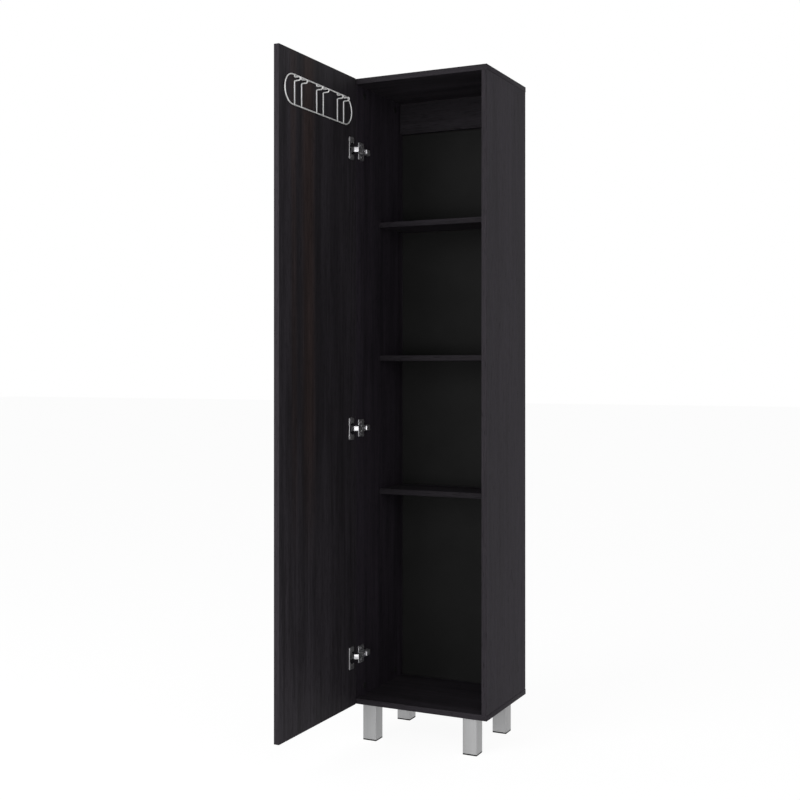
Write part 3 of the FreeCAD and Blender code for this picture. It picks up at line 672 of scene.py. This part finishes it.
def end_strips(board, foil):
    """The strips on the two ends of the top or bottom, a thin joint left towards the side panels."""
    left, right = (corner.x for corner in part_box("carcass_edge_bands"))
    low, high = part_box(f"{board}_panel")
    if board == "top":
        low.z += JOINT_LINE
    else:
        high.z -= JOINT_LINE
    for side, start, end, out in (("left", left, low.x, -X), ("right", high.x, right, X)):
        strip = band_strip(f"{board}_{side}_band", Vector((start, low.y, low.z)),
                           Vector((end, high.y, high.z)), out)
        finished(strip, "carcass", "edge_band", foil, "carcass_edge_bands")


def edge_bands():
    """The strips on the carcass and on the shelves."""
    upright = band_foil("upright")
    level = band_foil("level")
    end = band_foil("end")
    inner = band_foil("shelf")
    left, right = (corner.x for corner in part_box("carcass_edge_bands"))
    for side in ("left", "right"):
        low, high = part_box(f"{side}_side_panel")
        front_strip(f"{side}_side_panel", f"{side}_side_band", low.x, high.x, upright, "carcass_edge_bands")
    for board in ("top", "bottom"):
        front_strip(f"{board}_panel", f"{board}_front_band", left, right, level, "carcass_edge_bands")
        end_strips(board, end)
    for shelf in SHELVES:
        low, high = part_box(f"{shelf}_shelf")
        front_strip(f"{shelf}_shelf", f"{shelf}_shelf_band", low.x, high.x, inner, "shelf_edge_bands")


def door_band():
    """The band round the door, a ring with rounded arrises."""
    low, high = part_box("door_edge_band")
    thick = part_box("door_panel")[0].y - low.y
    ring = block("door_band", low, high)
    round_edges(ring, DOOR_ARRIS, lambda edge: True, segments=4)
    with editing(ring):
        pick(ring, "faces", either(facing(X, PARALLEL), facing(-X, PARALLEL)))
        bpy.ops.mesh.inset(thickness=thick - DOOR_ARRIS, depth=0)
        bpy.ops.mesh.bridge_edge_loops()
    closed(ring)
    smooth(ring)
    finished(ring, "door", "edge_band", band_foil("door"), "door_edge_band")


# Legs

LEG_CORNER = 1.5 * MM
LEG_JOINT = 0.7 * MM
LEG_WALL = 2.0 * MM
SOLE_MARGIN = 5.0 * MM
SOLE_DEPTH = 0.8 * MM
SOLE_EDGE = 0.5 * MM
PLUG_GAP = 0.1 * MM
FIRST_LEG = LEGS[0]


def outermost(low, high):
    """A test for edges on the upright outside of a square box."""
    middle = (low + high) / 2
    reach = (high.x - low.x) / 2 - LEG_CORNER

    def test(edge):
        offsets = [corner.co - middle for corner in edge.verts]
        return all(max(abs(offset.x), abs(offset.y)) > reach for offset in offsets)
    return test


def leg_tube(name):
    """A square tube with softened corners, open at both ends, a thin joint above its glide."""
    low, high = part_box(name)
    low.z += LEG_JOINT
    tube = block(f"{name}_tube", low, high)
    with editing(tube):
        pick(tube, "faces", either(facing(Z), facing(-Z)))
        bpy.ops.mesh.inset(thickness=LEG_WALL, depth=0)
        bpy.ops.mesh.bridge_edge_loops()
    closed(tube)
    round_edges(tube, LEG_CORNER, both(running(Z), outermost(low, high)), segments=4)
    return smooth(tube)


def leg_glide(name):
    """A glide with a dished sole and a plug up into the tube."""
    low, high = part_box(name)
    foot_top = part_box(name.replace("_glide", ""))[0].z
    glide = block(f"{name}_moulding", low, Vector((high.x, high.y, foot_top)))
    round_edges(glide, LEG_CORNER, running(Z), segments=4)
    round_edges(glide, SOLE_EDGE, on_plane(Z, low.z), segments=2)
    margin = Vector((SOLE_MARGIN, SOLE_MARGIN, 0))
    dish_top = Vector((high.x, high.y, low.z + SOLE_DEPTH))
    dish = block("dish_cutter", low + margin - Z * PAST, dish_top - margin)
    round_edges(dish, LEG_CORNER, running(Z), segments=4)
    carve(glide, dish, "DIFFERENCE")
    wall = Vector((LEG_WALL + PLUG_GAP, LEG_WALL + PLUG_GAP, 0))
    plug = block("plug", low + Z * SOLE_DEPTH * 2 + wall, high - wall)
    round_edges(plug, SOLE_EDGE, on_plane(Z, high.z), segments=2)
    carve(glide, plug, "UNION")
    return smooth(glide)


def legs():
    """The four legs with their glides, modelled once and copied."""
    tube = leg_tube(f"{FIRST_LEG}_leg")
    glide = leg_glide(f"{FIRST_LEG}_leg_glide")
    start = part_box(f"{FIRST_LEG}_leg")[0]
    pieces = {FIRST_LEG: (tube, glide)}
    for leg in LEGS[1:]:
        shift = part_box(f"{leg}_leg")[0] - start
        own_tube = copied(tube, f"{leg}_leg_tube", shift)
        own_glide = copied(glide, f"{leg}_leg_glide_moulding", shift)
        pieces[leg] = (own_tube, own_glide)
    for leg, (own_tube, own_glide) in pieces.items():
        finished(own_tube, "carcass", "leg_aluminium", FINISHES["aluminium"], f"{leg}_leg")
        finished(own_glide, "carcass", "glide_plastic", FINISHES["glide"], f"{leg}_leg_glide")


# Hinges

PLATE_THICK = 3.0 * MM
WING_DEPTH = 30.5 * MM
WING_CORNER = 3.0 * MM
WING_EDGE = 0.7 * MM
SLOT_WIDTH = 6.6 * MM
SLOT_LENGTH = 14.0 * MM
SLOT_ROUND_SHARE = 0.98
RIB_WIDTH = 12.0 * MM
RIB_SETBACK = 1.5 * MM
ARM_WALL = 1.5 * MM
ARM_FRONT = 24.4 * MM
ARM_RISE = 0.3 * MM
ARM_CORNER = 2.0 * MM
ARM_EDGE = 1.4 * MM
ARM_SLOT_DEPTH = 0.8 * MM
ARM_SLOT_REACH = 9.0 * MM
CLIP_HEIGHT = 2.0 * MM
CLIP_WIDTH = 11.0 * MM
CLIP_START = 48.4 * MM
CLIP_LENGTH = 17.0 * MM
CLIP_LEAN = 0.9 * MM
CLIP_EDGE = 0.3 * MM
NOSE_WIDTH = 13.0 * MM
NOSE_THICK = 2.0 * MM
NOSE_RISE = 9.0 * MM
NOSE_LEAN = 5.2 * MM
NOSE_BEND = 1.2 * MM
NOSE_EDGE = 0.35 * MM
NOSE_GAP = 4.5 * MM
NECK = 0.6 * MM
KNUCKLE_WIDTH = 10.0 * MM
KNUCKLE_RADIUS = 2.4 * MM
CUP_RADIUS = 17.5 * MM
CUP_WALL = 0.8 * MM
CUP_RIM = 0.8 * MM
CUP_SOFT = 2.0 * MM
CUP_BEND = 0.6 * MM
FLANGE_THICK = 2.0 * MM
FLANGE_WIDTH = 26.4 * MM
FLANGE_CORNER = 4.0 * MM
LUG_THICK = 2.5 * MM
LUG_GAP = 0.4 * MM
LUG_BACK_SHARE = 0.8
FULL_TURN = 360


def hinge_axis():
    """The point of the door's hinge line at the floor."""
    spot = Vector(frame["joints"][0]["pos_m"])
    return Vector((spot.x, spot.y, 0))


def middle_height(node):
    """The height of a node's middle."""
    low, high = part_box(node)
    return (low.z + high.z) / 2


def wide_block(name, low_x, high_x, low_y, high_y, middle_z, width):
    """A block centred on a height."""
    low = Vector((low_x, low_y, middle_z - width / 2))
    high = Vector((high_x, high_y, middle_z + width / 2))
    return block(name, low, high)


def mounting_plate():
    """The lower hinge's cross-shaped plate: slotted wings and a raised rib."""
    low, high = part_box("lower_hinge_plate")
    height = middle_height("lower_hinge_plate")
    top = low.x + PLATE_THICK
    plate = block("lower_hinge_plate_stamping", low, Vector((top, low.y + WING_DEPTH, high.z)))
    round_edges(plate, WING_CORNER, running(X), segments=5)
    round_edges(plate, WING_EDGE, on_plane(X, top))
    for screw_low, screw_high in solid_boxes("hinge_plate_screws")[:2]:
        middle = (screw_low + screw_high) / 2
        slot = wide_block("slot_cutter", low.x - PAST, top + PAST, middle.y - SLOT_WIDTH / 2,
                          middle.y + SLOT_WIDTH / 2, middle.z, SLOT_LENGTH)
        round_edges(slot, SLOT_WIDTH / 2 * SLOT_ROUND_SHARE, running(X), segments=6)
        carve(plate, slot, "DIFFERENCE")
    rib = wide_block("rib", low.x, high.x, low.y + RIB_SETBACK, high.y, height, RIB_WIDTH)
    round_edges(rib, WING_EDGE, on_plane(X, high.x))
    carve(plate, rib, "UNION")
    return smooth(plate)


def nose_strip(top, rear, height):
    """The strip from the pin's knuckle up over the cup's rim, leaning back to the top of the arm."""
    axis = hinge_axis() + Z * height
    front = axis.y - KNUCKLE_RADIUS
    slope_start = axis.x + NOSE_RISE
    strip = wide_block("nose", axis.x + NOSE_GAP, slope_start, front, front + NOSE_THICK, height, NOSE_WIDTH)
    rise = top - slope_start
    below = 1 - NOSE_THICK / rise
    slope = X * rise + Y * NOSE_LEAN

    def near_top(face):
        return face.calc_center_median().x > top - NOSE_THICK

    with editing(strip):
        pick(strip, "faces", facing(X))
        extrude(slope * below)
        extrude(slope * (1 - below))
        pick(strip, "faces", both(facing(Y, LEANING), near_top))
        extrude(Y * (rear - front - NOSE_LEAN - NOSE_THICK))
    half = NOSE_WIDTH / 2
    round_edges(strip, NOSE_EDGE, either(on_plane(Z, height - half), on_plane(Z, height + half)), segments=2)
    lower_bend = both(on_plane(X, slope_start), on_plane(Y, front))
    upper_bend = both(on_plane(X, top), on_plane(Y, front + NOSE_LEAN))
    round_edges(strip, NOSE_BEND, either(lower_bend, upper_bend), segments=4)
    with editing(strip):
        pick(strip, "faces", facing(-X, PARALLEL))
        extrude(X * -NECK)
        bpy.ops.transform.resize(value=(1, 1, KNUCKLE_WIDTH / NOSE_WIDTH), center_override=axis)
        extrude(X * (NECK - NOSE_GAP))
    closed(strip)
    knuckle = bar("knuckle", axis - Z * KNUCKLE_WIDTH / 2, Z, KNUCKLE_RADIUS, KNUCKLE_WIDTH, sides=24)
    along = running(Z)
    round_edges(knuckle, NOSE_EDGE, lambda edge: not along(edge), segments=2)
    return carve(strip, knuckle, "UNION")


def arm_clip(low_y, top, high_x, height):
    """The clip on the arm's back, its ends leaning inwards."""
    start = low_y + CLIP_START
    end = start + CLIP_LENGTH
    middle = (start + end) / 2
    clip = wide_block("clip", top - ARM_WALL / 2, high_x, start, end, height, CLIP_WIDTH)
    for out in (-1, 1):
        with editing(clip):
            pick(clip, "verts", lambda corner: corner.co.x > top and (corner.co.y - middle) * out > 0)
            bpy.ops.transform.translate(value=Y * CLIP_LEAN * -out)
    round_edges(clip, CLIP_EDGE, on_plane(X, high_x))
    return clip


def hinge_arm():
    """The lower hinge's arm: a channel with a leaning nose in front and a clip behind."""
    low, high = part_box("lower_hinge_arm")
    plate_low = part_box("lower_hinge_plate")[0]
    height = middle_height("lower_hinge_arm")
    top = high.x - CLIP_HEIGHT
    under = plate_low.x + PLATE_THICK + ARM_RISE
    start = Vector((under, low.y + ARM_FRONT, low.z))
    arm = block("lower_hinge_arm_stamping", start, Vector((top, high.y, high.z)))
    round_edges(arm, ARM_CORNER, both(running(X), on_plane(Y, high.y)), segments=4)
    round_edges(arm, ARM_EDGE, on_plane(X, top), segments=4)
    with editing(arm):
        pick(arm, "faces", facing(-X))
        bpy.ops.mesh.inset(thickness=ARM_WALL, depth=0)
        extrude(X * (top - under - ARM_WALL))
    carve(arm, nose_strip(top, plate_low.y + RIB_SETBACK - ARM_RISE, height), "UNION")
    carve(arm, arm_clip(low.y, top, high.x, height), "UNION")
    screw_low, screw_high = solid_boxes("hinge_adjusting_screws")[0]
    middle = (screw_low.y + screw_high.y) / 2
    slot = wide_block("slot_cutter", top - ARM_SLOT_DEPTH, top + PAST, middle - ARM_SLOT_REACH,
                      middle + ARM_SLOT_REACH, height, SLOT_WIDTH)
    round_edges(slot, SLOT_WIDTH / 2 * SLOT_ROUND_SHARE, running(X), segments=6)
    carve(arm, slot, "DIFFERENCE")
    return smooth(arm)


def turned(name, profile, centre, axis, steps=48):
    """A turned piece: a profile of (radius, distance along the axis) points spun about the axis."""
    side = Vector((axis.y, axis.z, axis.x))
    spots = [centre + side * radius + axis * along for radius, along in profile]
    bpy.ops.object.select_all(action="DESELECT")
    bpy.ops.mesh.primitive_plane_add(size=PAST, location=spots[0])
    piece = named(name)
    with editing(piece):
        bpy.ops.mesh.merge(type="CENTER")
        for before, after in zip(spots, spots[1:]):
            extrude(after - before)
        bpy.ops.mesh.select_all(action="SELECT")
        spin(FULL_TURN, centre, -axis, steps)
    closed(piece)
    return piece


def cup_profile(depth):
    """Half the section of the cup's dish: out along its floor, up its wall and back inside."""
    inner = CUP_RADIUS - CUP_WALL
    lip = depth - CUP_WALL / 2
    outside = [(0, 0), (CUP_RADIUS - CUP_SOFT, 0), (CUP_RADIUS - CUP_BEND, CUP_BEND), (CUP_RADIUS, CUP_SOFT)]
    rim = [(CUP_RADIUS, lip), (CUP_RADIUS - CUP_WALL / 2, depth), (inner, lip)]
    inside = [(inner, CUP_WALL + CUP_SOFT), (inner - CUP_BEND, CUP_WALL + CUP_BEND),
              (inner - CUP_SOFT, CUP_WALL), (0, CUP_WALL)]
    return outside + rim + inside


def hinge_cup():
    """The lower hinge's cup: a turned dish, a screw flange across it and two lugs for the pin."""
    low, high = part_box("lower_hinge_cup")
    height = middle_height("lower_hinge_cup")
    face = high.x - FLANGE_THICK
    centre = Vector((low.x, high.y - CUP_RADIUS, height))
    cup = turned("lower_hinge_cup_pressing", cup_profile(face + CUP_RIM - low.x), centre, X)
    flange = block("flange", Vector((face, low.y, low.z)), Vector((high.x, low.y + FLANGE_WIDTH, high.z)))
    round_edges(flange, FLANGE_CORNER, running(X), segments=5)
    round_edges(flange, WING_EDGE, on_plane(X, high.x))
    hole_start = centre + X * (face - PAST - low.x)
    hole = bar("dish_cutter", hole_start, X, CUP_RADIUS - CUP_WALL, FLANGE_THICK + 2 * PAST, sides=48)
    carve(flange, hole, "DIFFERENCE")
    carve(cup, flange, "UNION")
    axis = hinge_axis()
    for sign in (-1, 1):
        middle = height + sign * (KNUCKLE_WIDTH / 2 + LUG_GAP + LUG_THICK / 2)
        lug = wide_block("lug", low.x + CUP_WALL / 2, axis.x + KNUCKLE_RADIUS, axis.y - KNUCKLE_RADIUS,
                         axis.y + KNUCKLE_RADIUS * LUG_BACK_SHARE, middle, LUG_THICK)
        carve(cup, lug, "UNION")
    return smooth(cup)


# Hinge screws: body, thickness of the head and radius of the shank
SCREWS = {
    "hinge_plate_screws": ("carcass", 1.2 * MM, 2.5 * MM),
    "hinge_fixing_screws": ("carcass", 1.0 * MM, 2.0 * MM),
    "hinge_adjusting_screws": ("carcass", 1.0 * MM, 2.0 * MM),
    "hinge_cup_screws": ("door", 0.8 * MM, 1.75 * MM),
}
HEAD_ROUND_SHARE = 0.3
RECESS_FLOOR_SHARE = 0.35
RECESS_SHARES = (0.26, 1.1)


def pan_screw(name, low, high, head_thick, shank_radius):
    """A screw along X with a rounded head and a cross recess."""
    radius = (high.y - low.y) / 2
    middle = (low + high) / 2
    seat = Vector((high.x - head_thick, middle.y, middle.z))
    screw = bar(name, seat, X, radius, head_thick)
    round_edges(screw, head_thick * HEAD_ROUND_SHARE, on_plane(X, high.x))
    with editing(screw):
        pick(screw, "faces", facing(-X))
        bpy.ops.mesh.inset(thickness=radius - shank_radius, depth=0)
        extrude(X * (low.x - seat.x))
    floor = seat + X * head_thick * RECESS_FLOOR_SHARE
    mouth = seat + X * (head_thick + PAST)
    narrow, wide = (share * radius / 2 for share in RECESS_SHARES)
    recess = block("recess", floor - Vector((0, narrow, wide)), mouth + Vector((0, narrow, wide)))
    across = block("recess", floor - Vector((0, wide, narrow)), mouth + Vector((0, wide, narrow)))
    carve(recess, across, "UNION")
    carve(screw, recess, "DIFFERENCE")
    return smooth(screw, SCREW_ANGLE)


def hinges():
    """The three hinges, each piece modelled for the lower one and copied up."""
    models = (
        ("plate", mounting_plate(), "carcass", "stamping"),
        ("arm", hinge_arm(), "carcass", "stamping"),
        ("cup", hinge_cup(), "door", "pressing"),
    )
    for kind, first, body, word in models:
        start = middle_height(f"lower_hinge_{kind}")
        for hinge in HINGES:
            node = f"{hinge}_hinge_{kind}"
            shift = Z * (middle_height(node) - start)
            piece = first if hinge == "lower" else copied(first, f"{node}_{word}", shift)
            finished(piece, body, "hinge_nickel", FINISHES["nickel"], node)
    for node, (body, head_thick, shank_radius) in SCREWS.items():
        boxes = solid_boxes(node)
        first = pan_screw(f"{node}_1", *boxes[0], head_thick, shank_radius)
        finished(first, body, "hinge_nickel", FINISHES["screw"], node)
        for count, (low, high) in enumerate(boxes[1:], start=2):
            piece = copied(first, f"{node}_{count}", low - boxes[0][0])
            finished(piece, body, "hinge_nickel", FINISHES["screw"], node)


# Hook rack

WIRE_SIDES = 16
END_STEPS = 24
NOSE_STEPS = 16
BEND_STEPS = 8
WIRE_BEND = 3.0 * MM
HOOK_DROP = 6.4 * MM
HOOK_REACH = 17.0 * MM
HOOK_GAP = 8.8 * MM
WELD_SHARE = 1.3
WELD_SHAPE = (0.9, 1.25, 0.95)
HALF_TURN = 180
QUARTER_TURN = 90


def rack_lines():
    """The wire's radius, its plane, and the heights of the two rails."""
    low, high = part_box("rack_frame")
    radius = (high.x - low.x) / 2
    return radius, (low.x + high.x) / 2, high.z - radius, low.z + radius


def rack_ring():
    """One ring of wire: two rails joined by round ends."""
    low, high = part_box("rack_frame")
    radius, plane, top, foot = rack_lines()
    turn = (top - foot) / 2
    near = Vector((plane, high.y - radius - turn, foot + turn))
    far = Vector((plane, low.y + radius + turn, foot + turn))
    ring = disc("rack_ring", far + Z * turn, Y, radius, WIRE_SIDES)
    with editing(ring):
        extrude(near - far)
        spin(HALF_TURN, near, -X, END_STEPS)
        extrude(far - near)
        spin(HALF_TURN, far, -X, END_STEPS)
        pick(ring, "faces", lambda face: len(face.verts) > 4)
        bpy.ops.mesh.delete(type="ONLY_FACE")
    closed(ring)
    return smooth(ring, ROUND_ANGLE)


def weld(spot, radius):
    """A bead of weld metal, a little wider along the rail."""
    bpy.ops.object.select_all(action="DESELECT")
    bpy.ops.mesh.primitive_uv_sphere_add(
        segments=16, ring_count=10, radius=radius * WELD_SHARE, location=spot, scale=WELD_SHAPE)
    return named("weld")


def hook_wire(name, y):
    """A wire from the top rail that runs out, turns back in a hairpin and drops to the low rail."""
    radius, plane, top, foot = rack_lines()
    start = Vector((plane, y, top))
    tip = HOOK_REACH - HOOK_GAP / 2
    wire = disc(name, start, -Z, radius, WIRE_SIDES)
    with editing(wire):
        extrude(Z * (WIRE_BEND - HOOK_DROP))
        spin(QUARTER_TURN, start + X * WIRE_BEND + Z * (WIRE_BEND - HOOK_DROP), -Y, BEND_STEPS)
        extrude(X * (tip - WIRE_BEND))
        spin(HALF_TURN, start + X * tip - Z * (HOOK_DROP + HOOK_GAP / 2), Y, NOSE_STEPS)
        extrude(X * (WIRE_BEND - tip))
        spin(QUARTER_TURN, start + X * WIRE_BEND - Z * (HOOK_DROP + HOOK_GAP + WIRE_BEND), -Y, BEND_STEPS)
        extrude(Z * (foot - top + HOOK_DROP + HOOK_GAP + WIRE_BEND))
    closed(wire)
    for height in (top, foot):
        carve(wire, weld((plane, y, height), radius), "UNION")
    return wire


def rack():
    """The ring and the three pairs of hooks, their wire modelled once and copied."""
    finished(rack_ring(), "door", "rack_wire", FINISHES["wire"], "rack_frame")
    radius = rack_lines()[0]
    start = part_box(f"{HOOKS[0]}_rack_hook")[0].y + radius
    model = hook_wire("hook_wire_model", start)
    for hook in HOOKS:
        low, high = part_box(f"{hook}_rack_hook")
        wires = [copied(model, "hook_wire", Y * (y - start)) for y in (low.y + radius, high.y - radius)]
        pair = smooth(joined(f"{hook}_rack_hook_wires", wires), ROUND_ANGLE)
        finished(pair, "door", "rack_wire", FINISHES["wire"], f"{hook}_rack_hook")
    bpy.data.objects.remove(model)
    paint("rack_studs", FINISHES["wire"])


# Cam covers

COVER_SIDES = 40
COVER_ROUND_SHARE = 0.6
COVER_RIM_SHARE = 0.3
GROOVE_SHARE = 0.06
GROOVE_DEPTH_SHARE = 0.25


def cover_axis(low, high):
    """The way a cover faces: down under a shelf, or inwards on a side panel."""
    size = high - low
    if size.z < size.x and size.z < size.y:
        return -Z
    return X if low.x + high.x < 0 else -X


def cam_cover(name, low, high):
    """A push-in cap with a soft rim and a shallow ring."""
    axis = cover_axis(low, high)
    size = high - low
    middle = (low + high) / 2
    thick = abs(size.dot(axis))
    radius = max(size) / 2
    groove = GROOVE_DEPTH_SHARE * thick
    cover = bar(name, middle - axis * thick / 2, axis, radius, thick, COVER_SIDES)
    round_edges(cover, thick * COVER_ROUND_SHARE, on_plane(axis, middle.dot(axis) + thick / 2))
    with editing(cover):
        pick(cover, "faces", facing(axis, PARALLEL))
        bpy.ops.mesh.inset(thickness=radius * COVER_RIM_SHARE, depth=0)
        bpy.ops.mesh.inset(thickness=radius * GROOVE_SHARE, depth=-groove)
        bpy.ops.mesh.inset(thickness=radius * GROOVE_SHARE, depth=groove)
    return smooth(cover)


def cam_covers():
    """The caps over the cams, modelled once for each way they face and copied."""
    models = {}
    for count, (low, high) in enumerate(solid_boxes("cam_covers"), start=1):
        name = f"cam_cover_{count}"
        way = tuple(cover_axis(low, high))
        if way in models:
            model, start = models[way]
            cover = copied(model, name, low - start)
        else:
            cover = cam_cover(name, low, high)
            models[way] = (cover, low)
        finished(cover, "carcass", "cover_plastic", FINISHES["cover"], "cam_covers")


# Studio

FLOOR_SIZE = 60
FLOOR_SHADE = 0.92
FLOOR_GLOW = 0.93
FLOOR_SHADOW = 0.15
AMBIENT = 0.28
# Name, place, target, size and watts
LAMPS = (
    ("left_lamp", (-1.6, -4.2, 2.6), (0, 0, 0.9), (2.6, 2.6), 77),
    ("right_lamp", (2.6, -3.6, 1.9), (0, 0, 0.9), (2.6, 2.6), 38),
    ("low_lamp", (0.3, -3.6, 0.5), (0, 0, 0.4), (2.6, 1.0), 33),
)
CAMERA_SPOT = (1.364, -3.071, 1.019)
CAMERA_TURN = 25.836
CAMERA_LENS = 54.2
CAMERA_SENSOR = 36
CAMERA_SHIFT = -0.0398
CAMERA_REACH = 200


def seen_directly(finish):
    """1 for what the camera sees, also through mirrors and glass."""
    total = None
    for ray in ("Is Camera Ray", "Is Glossy Ray", "Is Transmission Ray"):
        part = finish.node("ShaderNodeLightPath", output=ray)
        total = part if total is None else total.math("MAXIMUM", total, part)
    return total


def pale_floor():
    """A pale floor that keeps the cupboard's shadow faintly."""
    bpy.ops.object.select_all(action="DESELECT")
    bpy.ops.mesh.primitive_plane_add(size=FLOOR_SIZE, location=(0, 0, 0))
    floor = named("floor")
    finish = Finish("pale_floor")
    seen = seen_directly(finish)
    matt = finish.node("ShaderNodeBsdfDiffuse", sockets={"Color": grey(FLOOR_SHADE)})
    glow = finish.node("ShaderNodeEmission", sockets={"Color": grey(1.0), "Strength": FLOOR_GLOW})
    faint = finish.node("ShaderNodeBsdfDiffuse", sockets={"Color": grey(FLOOR_SHADOW)})
    shown = finish.node("ShaderNodeAddShader", sockets={0: glow, 1: faint})
    mixed = finish.node("ShaderNodeMixShader", sockets={0: seen, 1: matt, 2: shown})
    finish.node("ShaderNodeOutputMaterial", sockets={"Surface": mixed})
    floor.data.materials.append(finish.material)


def white_air():
    """White all round, with a plain level of light on the cupboard."""
    world = bpy.data.worlds.new("white_studio")
    bpy.context.scene.world = world
    world.use_nodes = True
    air = Finish("white_studio", world.node_tree)
    strength = seen_directly(air) * (1 - AMBIENT) + AMBIENT
    sky = air.node("ShaderNodeBackground", sockets={"Color": grey(1.0), "Strength": strength})
    air.node("ShaderNodeOutputWorld", sockets={"Surface": sky})


def lamps():
    """Soft lamps at the front."""
    for name, spot, target, (width, height), watts in LAMPS:
        bpy.ops.object.light_add(type="AREA", location=spot)
        lamp = bpy.context.object
        lamp.name = name
        lamp.data.shape = "RECTANGLE"
        lamp.data.size = width
        lamp.data.size_y = height
        lamp.data.energy = watts
        lamp.rotation_euler = (Vector(target) - Vector(spot)).to_track_quat("-Z", "Y").to_euler()


def camera():
    """The camera where the photograph was taken from, level."""
    turn = (math.radians(QUARTER_TURN), 0, math.radians(CAMERA_TURN))
    bpy.ops.object.camera_add(location=CAMERA_SPOT, rotation=turn)
    eye = bpy.context.object
    eye.data.lens = CAMERA_LENS
    eye.data.sensor_width = CAMERA_SENSOR
    eye.data.shift_y = CAMERA_SHIFT
    eye.data.clip_end = CAMERA_REACH
    bpy.context.scene.camera = eye
    bpy.context.scene.view_settings.view_transform = "Standard"


boards()
edge_bands()
door_band()
legs()
hinges()
rack()
cam_covers()
pale_floor()
white_air()
lamps()
camera()
